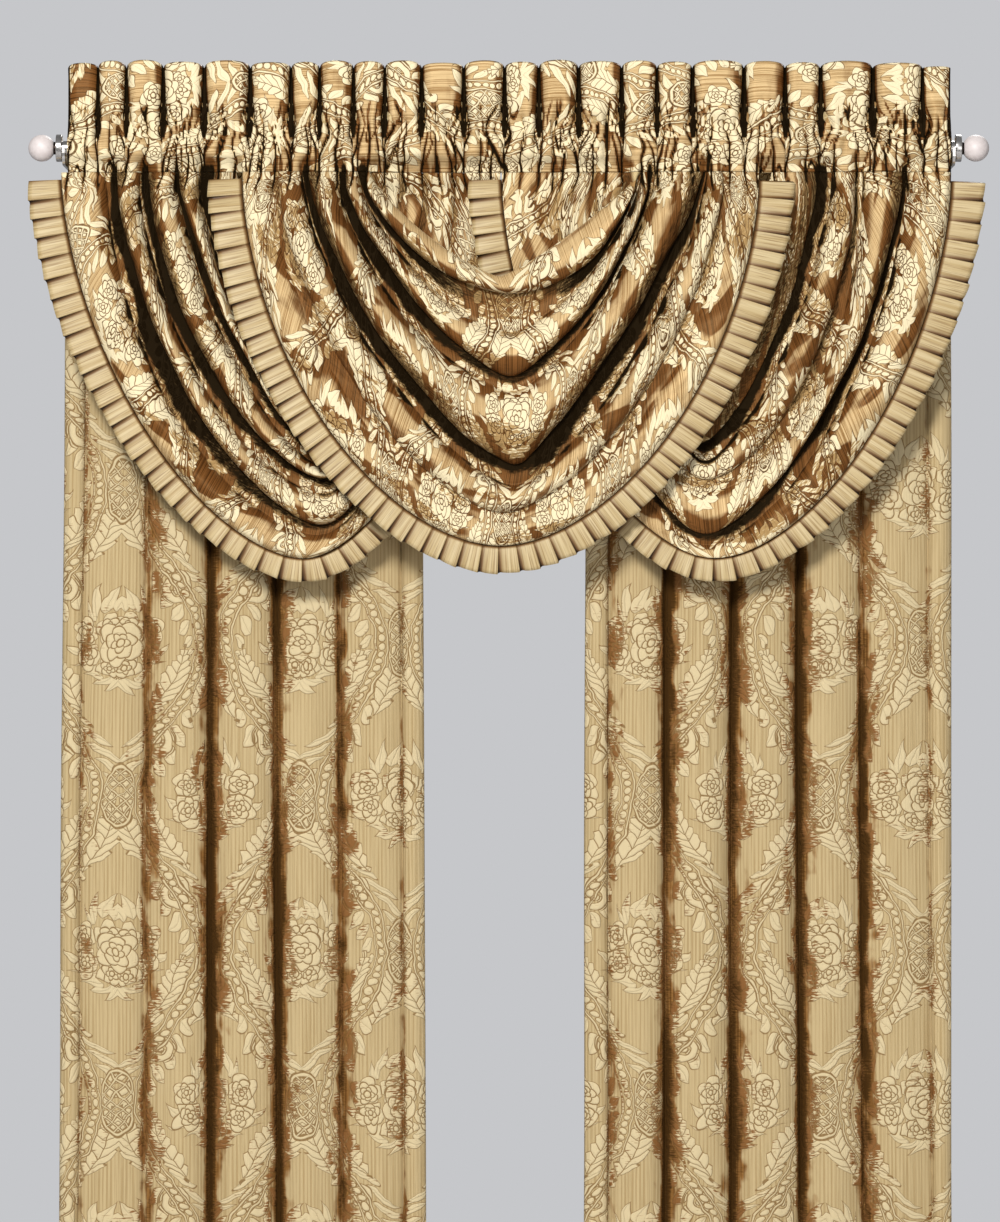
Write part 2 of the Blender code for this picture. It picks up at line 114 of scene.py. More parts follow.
def ease(share: Numbers) -> Numbers:
    """Go from 0 to 1 with a soft start and end.

    Args:
        share: Any number or array; what lies outside 0 to 1 is cut off.

    Returns:
        The eased share.
    """
    share = np.clip(share, 0.0, 1.0)
    return share * share * (3.0 - 2.0 * share)


def mix(first: Numbers, second: Numbers, share: Numbers) -> Numbers:
    """Return the value that lies a share of the way from first to second."""
    return first + (second - first) * share


def bell(distance: np.ndarray, reach: float) -> np.ndarray:
    """Return 1 at no distance, falling away smoothly past the reach."""
    return np.exp(-(distance / reach) ** 2)


def quarter_round(share: np.ndarray) -> np.ndarray:
    """Return the height of a quarter round: 0 at its foot, 1 at its top."""
    return np.sqrt(1.0 - (1.0 - share) ** 2)


def running(steps: np.ndarray) -> np.ndarray:
    """Return the running total of steps, from 0."""
    return np.concatenate(([0.0], np.cumsum(steps)))


def row_steps(points: np.ndarray) -> np.ndarray:
    """Return how far each point lies from the one in the row above it, 0 in the first row."""
    return np.linalg.norm(np.diff(points, axis=0, prepend=points[:1]), axis=2)


@dataclass(frozen=True)
class Relief:
    """Smooth random relief over a cloth's own lengths, the same on every run.

    Attributes:
        seed: Which of many reliefs this is.
        across: Size of its hills along the first length, in mm.
        along: Size of its hills along the second length, in mm.
    """

    seed: int
    across: float
    along: float

    def at(self, first: np.ndarray, second: np.ndarray) -> np.ndarray:
        """Read the relief.

        Args:
            first: First lengths, in mm.
            second: Second lengths, in mm, of the same shape.

        Returns:
            Heights from -1 to 1.
        """
        values = np.random.default_rng(self.seed).uniform(-1.0, 1.0, (64, 64))
        column, row = first / self.across, second / self.along
        left, low = np.floor(column).astype(int), np.floor(row).astype(int)
        right_share, high_share = ease(column - left), ease(row - low)
        near, far = [mix(values[(low + down) % 64, left % 64], values[(low + down) % 64, (left + 1) % 64],
                         right_share) for down in (0, 1)]
        return mix(near, far, high_share)

    def creases(self, first: np.ndarray, second: np.ndarray) -> np.ndarray:
        """Return the relief folded into sharp crests, from 0 to 1."""
        return 1.0 - np.abs(self.at(first, second))

    def crease_lines(self, first: np.ndarray, second: np.ndarray, reach: float) -> np.ndarray:
        """Return lines of even width along the crests: 1 on a crest, 0 at a distance.

        Args:
            first: First lengths, in mm.
            second: Second lengths, in mm.
            reach: The distance from a crest at which its line ends, in mm.

        Returns:
            The lines' strength at each place.
        """
        height = self.at(first, second)
        slope = np.abs(self.at(first + 1.0, second) - height)
        flattest = 0.015         # a line widens no further where the relief is flatter
        return ease(1.0 - np.abs(height) / (reach * np.maximum(slope, flattest)))


@dataclass
class Cloth:
    """A sheet of cloth as a grid of points, ready to become a mesh.

    Attributes:
        name: The piece's name.
        points: Rows by columns by (x, y, z), in mm.
        lengths: Rows by columns by the two lengths along the weave, in mm.
        hollow: Rows by columns, how much painted shade each point gets: 0 on a fold's crest to 1 deep
            between folds.
        thickness: The cloth's thickness, in mm.
    """

    name: str
    points: np.ndarray
    lengths: np.ndarray
    hollow: np.ndarray
    thickness: float

    def build(self, face: Material, back: Material) -> bpy.types.Object:
        """Make the mesh with its lengths, hollows, thickness and two sides.

        Args:
            face: Material of the side that faces the room.
            back: Material of the side that faces the wall.

        Returns:
            The new object, at the origin.
        """
        rows, columns = self.points.shape[:2]
        corner = np.arange(rows * columns).reshape(rows, columns)
        quads = np.stack((corner[:-1, :-1], corner[1:, :-1], corner[1:, 1:], corner[:-1, 1:]), axis=-1)
        quads = quads.reshape(-1, 4)
        mesh = bpy.data.meshes.new(self.name)
        mesh.from_pydata((self.points.reshape(-1, 3) * MM).tolist(), [], quads.tolist())
        lengths = self.lengths.reshape(-1, 2)[quads.ravel()] * MM
        mesh.uv_layers.new(name="cloth").data.foreach_set("uv", lengths.ravel())
        # the painted shade between folds, as the hollow attribute that the materials darken by
        mesh.attributes.new("hollow", "FLOAT", "POINT").data.foreach_set("value", self.hollow.ravel())
        mesh.materials.append(face)
        mesh.materials.append(back)
        mesh.shade_smooth()
        item = bpy.data.objects.new(self.name, mesh)
        bpy.context.scene.collection.objects.link(item)
        solidify = item.modifiers.new("cloth thickness", "SOLIDIFY")
        solidify.thickness = self.thickness * MM
        solidify.offset = 0.0
        solidify.material_offset = 1
        return item

    def hang(self, sides: tuple[Material, Material], node: str, slot: Slot, held: Held,
             rests_on: str) -> None:
        """Args:
            sides: Materials of its face and its back.
            node: The CAD node it replaces.
            slot: A material slot's name; not used.
            held: How it is held; not used.
            rests_on: What it hangs from; not used.
        """
        item = self.build(*sides)
        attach(item, "root")
        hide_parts(node)


# ---- nodes ----

MATHS = "ShaderNodeMath"
VECTORS = "ShaderNodeVectorMath"
NOISE = "ShaderNodeTexNoise"
CELLS = "ShaderNodeTexVoronoi"
RANGE = "ShaderNodeMapRange"


class Node(Enum):
    """The kinds of shader node in use: their class, their settings and, where they
    aren't the first ones, the inputs that values fill in order and the output given."""

    PLUS = (MATHS, {"operation": "ADD"})
    MINUS = (MATHS, {"operation": "SUBTRACT"})
    TIMES = (MATHS, {"operation": "MULTIPLY"})
    TIMES_PLUS = (MATHS, {"operation": "MULTIPLY_ADD"})
    OVER = (MATHS, {"operation": "DIVIDE"})
    LEAST = (MATHS, {"operation": "MINIMUM"})
    MOST = (MATHS, {"operation": "MAXIMUM"})
    SIZE = (MATHS, {"operation": "ABSOLUTE"})
    FLOOR = (MATHS, {"operation": "FLOOR"})
    FRACTION = (MATHS, {"operation": "FRACT"})
    ZIGZAG = (MATHS, {"operation": "PINGPONG"})
    SINE = (MATHS, {"operation": "SINE"})
    COSINE = (MATHS, {"operation": "COSINE"})
    ANGLE = (MATHS, {"operation": "ARCTAN2"})
    VECTOR_MINUS = (VECTORS, {"operation": "SUBTRACT"})
    VECTOR_TIMES = (VECTORS, {"operation": "MULTIPLY"})
    VECTOR_TIMES_PLUS = (VECTORS, {"operation": "MULTIPLY_ADD"})
    LENGTH = (VECTORS, {"operation": "LENGTH"}, None, 1)
    DISTANCE = (VECTORS, {"operation": "DISTANCE"}, None, 1)
    COMBINE = ("ShaderNodeCombineXYZ", {})
    SEPARATE = ("ShaderNodeSeparateXYZ", {})
    NOISE_FLAT = (NOISE, {"noise_dimensions": "2D"})
    NOISE_SOLID = (NOISE, {"noise_dimensions": "3D"})
    CELLS_FLAT = (CELLS, {"voronoi_dimensions": "2D"})
    CELL_EDGES = (CELLS, {"voronoi_dimensions": "2D", "feature": "DISTANCE_TO_EDGE"})
    STRAIGHT = (RANGE, {"interpolation_type": "LINEAR"})
    SMOOTH = (RANGE, {"interpolation_type": "SMOOTHSTEP"})
    BLEND = ("ShaderNodeMix", {"data_type": "RGBA"}, (0, 6, 7), 2)
    BUMP = ("ShaderNodeBump", {})
    CLOTH_LENGTHS = ("ShaderNodeUVMap", {"uv_map": "cloth"})
    # reads the painted shade between folds
    HOLLOW = ("ShaderNodeAttribute", {"attribute_name": "hollow"}, None, 2)
    PLACE = ("ShaderNodeTexCoord", {}, None, 3)
    LIGHT_PATH = ("ShaderNodeLightPath", {})


def plug(node: bpy.types.Node, inputs: dict) -> None:
    """Link or set a node's inputs.

    Args:
        node: The node.
        inputs: By the input's number or name, a socket to link or a value to set.
    """
    for place, value in inputs.items():
        if isinstance(value, Socket):
            node.id_data.links.new(value, node.inputs[place])
        else:
            node.inputs[place].default_value = value


def add_node(tree: bpy.types.NodeTree, kind: Node, *inputs: object, **named: object) -> Socket:
    """Add a node with its settings, values and links.

    Args:
        tree: The node tree.
        kind: The kind of node.
        inputs: Sockets to link or values to set, for its inputs in order.
        named: The same for inputs that are known by name.

    Returns:
        The output that the kind of node gives. Its .node has the others.
    """
    type_name, settings, *rest = kind.value
    places, given = rest or (None, 0)
    node = tree.nodes.new(type_name)
    for name, value in settings.items():
        setattr(node, name, value)
    plug(node, dict(zip(places or range(len(inputs)), inputs)) | named)
    return node.outputs[given]


def start_material(name: str) -> tuple[Material, bpy.types.Node, partial]:
    """Start a node material.

    Args:
        name: Its name.

    Returns:
        The material, its shader, and add_node for its tree.
    """
    material = bpy.data.materials.new(name)
    material.use_nodes = True
    tree = material.node_tree
    return material, tree.nodes["Principled BSDF"], partial(add_node, tree)


def streaks(add: partial, lengths: Socket, across: float, along: float, detail: float = 2.0,
            roughness: float = 0.5) -> Socket:
    """Draw uneven streaks in a cloth's weave.

    Args:
        add: Adds a node to the material's tree.
        lengths: The two lengths along the weave, in mm.
        across: Size of a streak along the first length, in mm.
        along: Its size along the second length, in mm.
        detail: How many finer layers it has.
        roughness: How strong these are.

    Returns:
        The streaks, about 0.3 to 0.7.
    """
    spread = add(Node.VECTOR_TIMES, lengths, (1 / across, 1 / along, 0.0))
    return add(Node.NOISE_FLAT, Vector=spread, Scale=1.0, Detail=detail, Roughness=roughness)


# ---- finishes ----

# The figured repeat, in mm: half its width and half its length, how far a bouquet's
# middle stands above the foot of its half, and the size of a cell with one small flower.
HALF_WIDE = 170.0
HALF_LONG = 220.0
ROSE_UP = 112.0
FLOWER_CELL = 42.0
GAP_BETWEEN = 0.7            # between two figures
ROSE_SIZE = 33.0             # radius of the large flower
BLOOM_SIZE = 25.0            # radius of the small ones
HEART = 0.15                 # a flower's heart, as a share of its radius
# its rings of petals, from the heart out: their edge and their bulge, as shares too
PETALS = ((0.26, 0.13), (0.48, 0.18), (0.72, 0.28))
BOUQUET_REACH = 60.0         # small flowers' middles lie within this far of the large one's
LEAVES_ROUND = 20            # leaves round a bouquet
BAND_X = 85.0                # a band's middle line
BAND_SWING = 52.0            # how far a band swings to each side of it
BAND_SLOPE = 0.743           # and how steep it is where it crosses it
BEAD_STEP = 11.0             # from one bead to the next
BEAD_SIZE = 5.0              # radius of a bead
GUARD_X = 8.5                # where a line guards the beads, from their middle
LEAF_X = 27.0                # where a broad leaf's rib lies, from the same
VEIN_STEP = 6.0              # half the way from one vein of it to the next
STEM_X = 12.0                # where the small leaves start
LEAF_STEP = 22.0             # from one small leaf to the next
SHIELD_SIZE = 24.0           # half the width of a shield
NET_STEP = 8.5               # half the way from one thread of its net to the next
SCROLL_AT = (96.0, 30.0, 0.0)
SCROLL_SIZE = 24.0           # radius of a scroll
SCROLL_STEP = 7.0            # half the way from one turn of it to the next
WAVER_LONG = 60.0            # length of the waves in the figures
WAVER_WIDE = 24.0            # how far they move a figure, from side to side
THREADS = (17.0, 2.6)        # length and width of the threads that fray the painted shade's edge
TO_MM = (1000.0, 1000.0, 0.0)


@dataclass(frozen=True)
class JacquardFinish:
    """Damask figured in pale weft floats on a slubbed satin ground.

    Attributes:
        name: The material's name.
        motif: Colour of the pale floats.
        motif_shaded: Their colour in painted shade, where the cloth turns into a hollow.
        outline: Colour of the thin lines around and inside the figures.
        ground_light: Lighter slubs of the satin.
        ground_dark: Darker slubs of the satin.
        shaded_light: The lighter slubs in painted shade, where the cloth turns into a hollow.
        shaded_dark: The darker slubs in painted shade there.
        deep: Painted shade colour at the bottom of a hollow.
        scale: Size of the figures, 1 for a repeat of 340 by 440 mm.
        slub_pitch: Width of a slub, in mm.
        rib_pitch: Distance between ribs, in mm.
        rib: How strongly the ribs show, 0 to 1.
        line_strength: How strongly the thin lines show, 0 to 1.
        motif_roughness: Roughness of the floats.
        ground_roughness: Roughness of the satin.
        relief: Height of the figures above the ground, in mm.
        turning: How strongly the painted hollow shade shows, 0 for the side that bulges out there.
        ground_shade_starts: How deep in a hollow the ground's painted brown shade starts, from 0 to 1.
        figure_shade_starts: The same for the figures.
        drift_across: Size of the painted brown shade's uneven patches along the first length, in mm.
        drift_down: Their size along the second length, in mm.
    """

    name: str
    motif: str
    motif_shaded: str
    outline: str
    ground_light: str
    ground_dark: str
    shaded_light: str
    shaded_dark: str
    deep: str
    scale: float
    slub_pitch: float
    rib_pitch: float
    rib: float
    line_strength: float
    motif_roughness: float
    ground_roughness: float
    relief: float
    turning: float = 1.0
    ground_shade_starts: float = 0.38
    figure_shade_starts: float = 0.62
    drift_across: float = 95.0
    drift_down: float = 30.0

    def under(self, add: partial, drawn: Socket, figure: Socket) -> Socket:
        """Lay a figure under what is drawn already, with a thin gap between them.

        Args:
            add: Adds a node to the material's tree.
            drawn: The height of what is drawn.
            figure: The height of the new figure.

        Returns:
            The height of both.
        """
        clear = add(Node.TIMES_PLUS, drawn, -1.0, -GAP_BETWEEN)
        return add(Node.MOST, drawn, add(Node.LEAST, figure, clear))

    def flower(self, add: partial, offset: Socket, turn: Socket | float, size: float) -> Socket:
        """Draw an open flower of three rings of five petals round its heart.

        Args:
            add: Adds a node to the material's tree.
            offset: The place as seen from the flower's middle, in mm.
            turn: How far the petals are turned, in radians.
            size: The flower's radius, in mm.

        Returns:
            The flower's height.
        """
        x, y = add(Node.SEPARATE, offset).node.outputs[:2]
        angle = add(Node.ANGLE, y, x)
        reach = add(Node.LENGTH, offset)
        drawn = add(Node.MINUS, HEART * size, reach)
        for ring, (edge, swell) in enumerate(PETALS):
            half = add(Node.TIMES_PLUS, angle, 2.5, add(Node.PLUS, turn, 1.3 * ring))
            lobe = add(Node.SIZE, add(Node.SINE, half))
            rim = add(Node.TIMES_PLUS, lobe, swell * size, edge * size)
            between = add(Node.TIMES, add(Node.TIMES, lobe, reach), 0.4)
            petal = add(Node.LEAST, add(Node.MINUS, rim, reach), between)
            drawn = self.under(add, drawn, petal)
        return drawn

    def bouquet(self, add: partial, side: Socket, up: Socket, rise: Socket) -> tuple[Socket, Socket]:
        """Draw flowers of two sizes crowded round a large one, and the leaves round them.

        Args:
            add: Adds a node to the material's tree.
            side: Distance from the bouquet's middle line, in mm.
            up: Height above the foot of the half repeat, in mm.
            rise: Height above the bouquet's middle, in mm.

        Returns:
            The heights of the flowers and of the leaves.
        """
        from_rose = add(Node.COMBINE, side, rise)
        reach = add(Node.LENGTH, from_rose)
        angle = add(Node.ANGLE, rise, side)
        spot = add(Node.COMBINE, side, up)
        flowers = self.flower(add, from_rose, 0.9, ROSE_SIZE)
        place = {"Vector": spot, "Scale": 1 / FLOWER_CELL, "Randomness": 0.55}
        _, dice, middle = add(Node.CELLS_FLAT, **place).node.outputs[:3]
        turn = add(Node.TIMES, dice, math.tau)
        bloom = self.flower(add, add(Node.VECTOR_MINUS, spot, middle), turn, BLOOM_SIZE)
        to_bound = add(Node.TIMES_PLUS, add(Node.CELL_EDGES, **place), FLOWER_CELL, -0.4)
        from_middle = add(Node.DISTANCE, middle, (0.0, ROSE_UP, 0.0))
        chosen = add(Node.TIMES, add(Node.MINUS, BOUQUET_REACH, from_middle), 9.0)
        whole = add(Node.LEAST, add(Node.LEAST, bloom, to_bound), chosen)
        flowers = self.under(add, flowers, whole)
        lobes = add(Node.SINE, add(Node.TIMES_PLUS, angle, 6.0, 1.0))
        inside = add(Node.MINUS, add(Node.TIMES_PLUS, lobes, 5.0, 48.0), reach)
        # pointed leaves with a vein, in sprays that stand out around the flowers
        swing = add(Node.SINE, add(Node.TIMES_PLUS, angle, 4.0, 0.6))
        leaf_long = add(Node.TIMES_PLUS, swing, 10.0, 30.0)
        out = add(Node.OVER, add(Node.TIMES, inside, -1.0), leaf_long)
        twist = add(Node.TIMES_PLUS, out, 0.45, angle)
        which = add(Node.FRACTION, add(Node.TIMES, twist, LEAVES_ROUND / math.tau))
        off = add(Node.SIZE, add(Node.MINUS, which, 0.5))
        off_mm = add(Node.TIMES, add(Node.TIMES, off, reach), math.tau / LEAVES_ROUND)
        bow = add(Node.TIMES, out, add(Node.MINUS, 1.0, out))
        taper = add(Node.MOST, add(Node.MINUS, 1.35, out), 0.3)
        blade = add(Node.MINUS, add(Node.TIMES, add(Node.TIMES, bow, taper), 46.0), off_mm)
        return flowers, add(Node.LEAST, blade, add(Node.PLUS, off_mm, 0.5))

    def band(self, add: partial, mirrored: Socket, along: Socket) -> tuple[Socket, Socket, Socket]:
        """Draw a band of beads that waves from side to side round each bouquet, and its leaves.

        Args:
            add: Adds a node to the material's tree.
            mirrored: Distance from the repeat's middle line, in mm.
            along: Length along the repeat, in mm.

        Returns:
            The heights of the band, of the broad leaves beside it and of the small ones.
        """
        repeat = 2 * HALF_LONG
        phase = add(Node.TIMES_PLUS, along, math.tau / repeat, -math.tau * ROSE_UP / repeat)
        band_x = add(Node.TIMES_PLUS, add(Node.COSINE, phase), BAND_SWING, BAND_X)
        slope = add(Node.TIMES, add(Node.SINE, phase), BAND_SLOPE)
        stretch = add(Node.LENGTH, add(Node.COMBINE, 1.0, slope))
        off_band = add(Node.OVER, add(Node.MINUS, mirrored, band_x), stretch)
        step = add(Node.FRACTION, add(Node.TIMES, along, 1 / BEAD_STEP))
        bead_y = add(Node.TIMES, add(Node.MINUS, step, 0.5), BEAD_STEP)
        bead = add(Node.MINUS, BEAD_SIZE, add(Node.LENGTH, add(Node.COMBINE, off_band, bead_y)))
        away = add(Node.SIZE, off_band)
        guard_off = add(Node.SIZE, add(Node.MINUS, away, GUARD_X))
        beads = add(Node.MOST, bead, add(Node.MINUS, 1.5, guard_off))
        # a broad veined leaf lies on each side twice in each repeat
        length = add(Node.SINE, add(Node.TIMES, phase, 2.0))
        width = add(Node.TIMES_PLUS, length, 20.0, -4.0)
        from_rib = add(Node.SIZE, add(Node.MINUS, away, LEAF_X))
        vein = add(Node.ZIGZAG, add(Node.TIMES_PLUS, from_rib, 0.9, along), VEIN_STEP)
        teeth = add(Node.TIMES_PLUS, vein, 0.8, width)
        broad = add(Node.LEAST, add(Node.MINUS, teeth, from_rib), add(Node.LEAST, vein, from_rib))
        # small leaves grow from the band between them
        stem = add(Node.MINUS, away, STEM_X)
        grown = add(Node.OVER, stem, add(Node.TIMES_PLUS, length, -15.0, 19.0))
        leaf = add(Node.FRACTION, add(Node.TIMES, add(Node.TIMES_PLUS, stem, -0.9, along), 1 / LEAF_STEP))
        leaf_mm = add(Node.TIMES, add(Node.SIZE, add(Node.MINUS, leaf, 0.5)), LEAF_STEP)
        arch = add(Node.TIMES, grown, add(Node.MINUS, 1.0, grown))
        sprig = add(Node.MINUS, add(Node.TIMES, arch, 36.0), leaf_mm)
        return beads, broad, add(Node.LEAST, sprig, add(Node.PLUS, leaf_mm, 0.5))

    def shield(self, add: partial, side: Socket, rise: Socket) -> Socket:
        """Draw a shield of netting between the bands.

        Args:
            add: Adds a node to the material's tree.
            side: Distance from the bouquet's middle line, in mm.
            rise: Height above the bouquet's middle, in mm.

        Returns:
            The shield's height.
        """
        in_x = add(Node.MINUS, HALF_WIDE, side)
        oval = add(Node.LENGTH, add(Node.COMBINE, in_x, add(Node.TIMES, rise, 0.5)))
        inside = add(Node.MINUS, SHIELD_SIZE, oval)
        threads = [add(Node.MINUS, add(Node.ZIGZAG, add(slant, in_x, rise), NET_STEP), 1.7)
                   for slant in (Node.PLUS, Node.MINUS)]
        net = add(Node.TIMES, add(Node.LEAST, *threads), -1.0)
        border = add(Node.MINUS, 3.0, inside)
        return add(Node.LEAST, inside, add(Node.MOST, net, border))

    def scroll(self, add: partial, spot: Socket) -> Socket:
        """Draw a curled scroll between bouquet and shield.

        Args:
            add: Adds a node to the material's tree.
            spot: The place in the half repeat, in mm.

        Returns:
            The scroll's height.
        """
        curl_at = add(Node.VECTOR_MINUS, spot, SCROLL_AT)
        x, y = add(Node.SEPARATE, curl_at).node.outputs[:2]
        out = add(Node.LENGTH, curl_at)
        wound = add(Node.TIMES_PLUS, add(Node.ANGLE, y, x), SCROLL_STEP / math.pi, out)
        groove = add(Node.MINUS, add(Node.ZIGZAG, wound, SCROLL_STEP), 2.0)
        return add(Node.LEAST, groove, add(Node.MINUS, SCROLL_SIZE, out))

    def figures(self, add: partial, place: Socket) -> Socket:
        """Draw the damask's figures as a height in mm: over 0 inside them, under 0 outside.

        The repeat is 340 mm wide and 440 mm long, mirrored about its middle, and its
        second row of bouquets stands half a repeat across and half a repeat down.

        Args:
            add: Adds a node to the material's tree.
            place: The two lengths along the weave, in mm.

        Returns:
            The figures' height.
        """
        across, along = add(Node.SEPARATE, place).node.outputs[:2]
        mirrored = add(Node.ZIGZAG, across, HALF_WIDE)
        row = add(Node.FLOOR, add(Node.OVER, along, HALF_LONG))
        up = add(Node.TIMES_PLUS, row, -HALF_LONG, along)
        flipped = add(Node.TIMES, add(Node.ZIGZAG, row, 1.0), HALF_WIDE)
        side = add(Node.SIZE, add(Node.MINUS, flipped, mirrored))
        rise = add(Node.MINUS, up, ROSE_UP)
        flowers, leaves = self.bouquet(add, side, up, rise)
        drawn, broad, small = self.band(add, mirrored, along)
        scroll = self.scroll(add, add(Node.COMBINE, side, up))
        for figure in (flowers, self.shield(add, side, rise), leaves, scroll, broad, small):
            drawn = self.under(add, drawn, figure)
        return drawn

    def material(self) -> Material:
        """Return the finish as a node material that reads the cloth's own lengths."""
        material, shader, add = start_material(self.name)
        lengths = add(Node.VECTOR_TIMES, add(Node.CLOTH_LENGTHS), TO_MM)
        # the figures waver, as woven cloth does
        waver = add(Node.NOISE_FLAT, Vector=lengths, Scale=1 / WAVER_LONG, Detail=2.0, Roughness=0.5)
        centred = add(Node.VECTOR_MINUS, waver.node.outputs["Color"], (0.5, 0.5, 0.5))
        place = add(Node.VECTOR_TIMES_PLUS, centred, (WAVER_WIDE, WAVER_WIDE, 0.0), lengths)
        height = self.figures(add, add(Node.VECTOR_TIMES, place, (1 / self.scale, 1 / self.scale, 0.0)))
        figure = add(Node.SMOOTH, height, 0.1, 0.9)
        line = add(Node.SMOOTH, add(Node.SIZE, height), 0.2, 0.9, self.line_strength, 0.0)
        # slubs: long uneven threads across the cloth, and ribs between them
        slub = add(Node.STRAIGHT, streaks(add, lengths, self.slub_pitch, 260, 3.0, 0.65), 0.36, 0.56)
        rib = add(Node.SINE, add(Node.TIMES, add(Node.SEPARATE, lengths), math.tau / self.rib_pitch))
        thread = add(Node.TIMES_PLUS, rib, self.rib * 0.5, slub)
        # painted shade: the satin is painted brown in a hollow sooner than the floats are, both a little
        # unevenly
        drift = streaks(add, lengths, self.drift_across, self.drift_down, 3.0)
        hollow = add(Node.TIMES, add(Node.HOLLOW), self.turning)
        clouding_and_shade = add(Node.TIMES_PLUS, drift, 0.7, hollow)
        satin_shaded = add(Node.SMOOTH, clouding_and_shade, self.ground_shade_starts, self.ground_shade_starts + 0.3)
        # painted shade: single threads across the cloth carry its painted brown a little further than
        # others
        shade_fray = streaks(add, lengths, *THREADS)
        ends = add(Node.TIMES_PLUS, shade_fray, 0.8, clouding_and_shade)
        float_shaded = add(Node.SMOOTH, ends, self.figure_shade_starts + 0.5, self.figure_shade_starts + 0.66)
        # painted deep shade: near-black at the bottom of a hollow, frayed along single threads
        sunk = add(Node.TIMES_PLUS, drift, 0.2, hollow)
        far = add(Node.SMOOTH, add(Node.TIMES_PLUS, shade_fray, 0.3, sunk), 0.77, 1.05)
        # the satin ground, and its painted-shade copy for the hollows
        flat = add(Node.BLEND, thread, linear(self.ground_dark), linear(self.ground_light))
        painted_bend_shade = add(Node.BLEND, thread, linear(self.shaded_dark), linear(self.shaded_light))
        ground = add(Node.BLEND, satin_shaded, flat, painted_bend_shade)
        floats = add(Node.BLEND, float_shaded, linear(self.motif), linear(self.motif_shaded))
        woven = add(Node.BLEND, figure, ground, floats)
        lined = add(Node.BLEND, line, woven, linear(self.outline))
        rough = add(Node.STRAIGHT, figure, 0.0, 1.0, self.ground_roughness, self.motif_roughness)
        domed = add(Node.SMOOTH, height, -0.4, 2.6)
        raised = add(Node.TIMES_PLUS, slub, 0.2, domed)
        plug(shader, {
            "Base Color": add(Node.BLEND, far, lined, linear(self.deep)),
            "Roughness": add(Node.TIMES_PLUS, far, 0.4, rough),
            "Normal": add(Node.BUMP, Strength=0.8, Distance=self.relief * MM, Height=raised),
            "Specular IOR Level": 0.3,
            "Specular Tint": linear("#E6C08A"),
        })
        return material


@dataclass(frozen=True)
class StripedSatinFinish:
    """Ribbed satin in fine uneven stripes, pleated across them.

    Attributes:
        name: The material's name.
        light: Colour of the pale stripes.
        middle: Colour of most of the cloth.
        dark: Colour of the thin dark threads.
        turned: Painted shade colour where the cloth turns into a fold.
        deep: Painted shade colour at the bottom of a fold.
        roughness: Roughness of the satin.
    """

    name: str
    light: str
    middle: str
    dark: str
    turned: str
    deep: str
    roughness: float

    def material(self) -> Material:
        """Return the finish as a node material that reads the cloth's own lengths."""
        material, shader, add = start_material(self.name)
        lengths = add(Node.VECTOR_TIMES, add(Node.CLOTH_LENGTHS), TO_MM)
        # stripes 7 mm wide, and threads of 2.2 mm, drawn coarser than real so that they show
        broad = add(Node.STRAIGHT, streaks(add, lengths, 7.0, 300), 0.36, 0.64)
        fine = streaks(add, lengths, 2.2, 90)
        thin = add(Node.STRAIGHT, fine, 0.52, 0.72, 0.0, 0.75)
        base = add(Node.BLEND, broad, linear(self.middle), linear(self.light))
        striped = add(Node.BLEND, thin, base, linear(self.dark))
        # painted shade: brown where a pleat turns into a fold, near-black at its bottom
        hollow = add(Node.HOLLOW)
        turning = add(Node.STRAIGHT, hollow, 0.05, 0.5)
        painted_bend_shade = add(Node.BLEND, turning, striped, linear(self.turned))
        far = add(Node.STRAIGHT, hollow, 0.45, 0.9)
        plug(shader, {
            "Base Color": add(Node.BLEND, far, painted_bend_shade, linear(self.deep)),
            "Normal": add(Node.BUMP, Strength=0.5, Distance=0.2 * MM, Height=fine),
            "Roughness": self.roughness,
            "Specular IOR Level": 0.25,
        })
        return material


@dataclass(frozen=True)
class HardFinish:
    """A finish of the rod's hard pieces, clouded a little by handling.

    Attributes:
        name: The material's name.
        colour: Its main colour.
        clouding_and_shade: Its colour where it is clouded; in the neck it is part of the painted shade.
        metallic: 1 for metal, 0 for glass.
        roughness: Its roughness where it is clean.
    """

    name: str
    colour: str
    clouding_and_shade: str
    metallic: float
    roughness: float

    def material(self) -> Material:
        """Return the finish as a node material that reads Object coordinates."""
        material, shader, add = start_material(self.name)
        # clouds of about 8 mm
        clouds = add(Node.NOISE_SOLID, Vector=add(Node.PLACE), Scale=130.0, Detail=3.0)
        share = add(Node.STRAIGHT, clouds, 0.35, 0.75)
        plug(shader, {
            "Base Color": add(Node.BLEND, share, linear(self.colour), linear(self.clouding_and_shade)),
            "Roughness": add(Node.STRAIGHT, share, 0.0, 1.0, self.roughness, self.roughness + 0.12),
            "Metallic": self.metallic,
        })
        return material


# Jacquard drape cloth, woven on a figured loom in polyester: cream floats stand up on
# a golden satin, with thin brown lines at each change; where it bends away it is painted brown and
# near-black as shade.
SWAG_CLOTH = JacquardFinish(
    name="swag jacquard, woven", motif="#E5D5AE", motif_shaded="#A48455", outline="#4A3015",
    ground_light="#CCAF80", ground_dark="#8A673B", shaded_light="#744A24", shaded_dark="#40240B",
    deep="#080300", scale=1.0, slub_pitch=2.2, rib_pitch=6.4, rib=0.15, line_strength=0.8,
    motif_roughness=0.55, ground_roughness=0.38, relief=0.7)
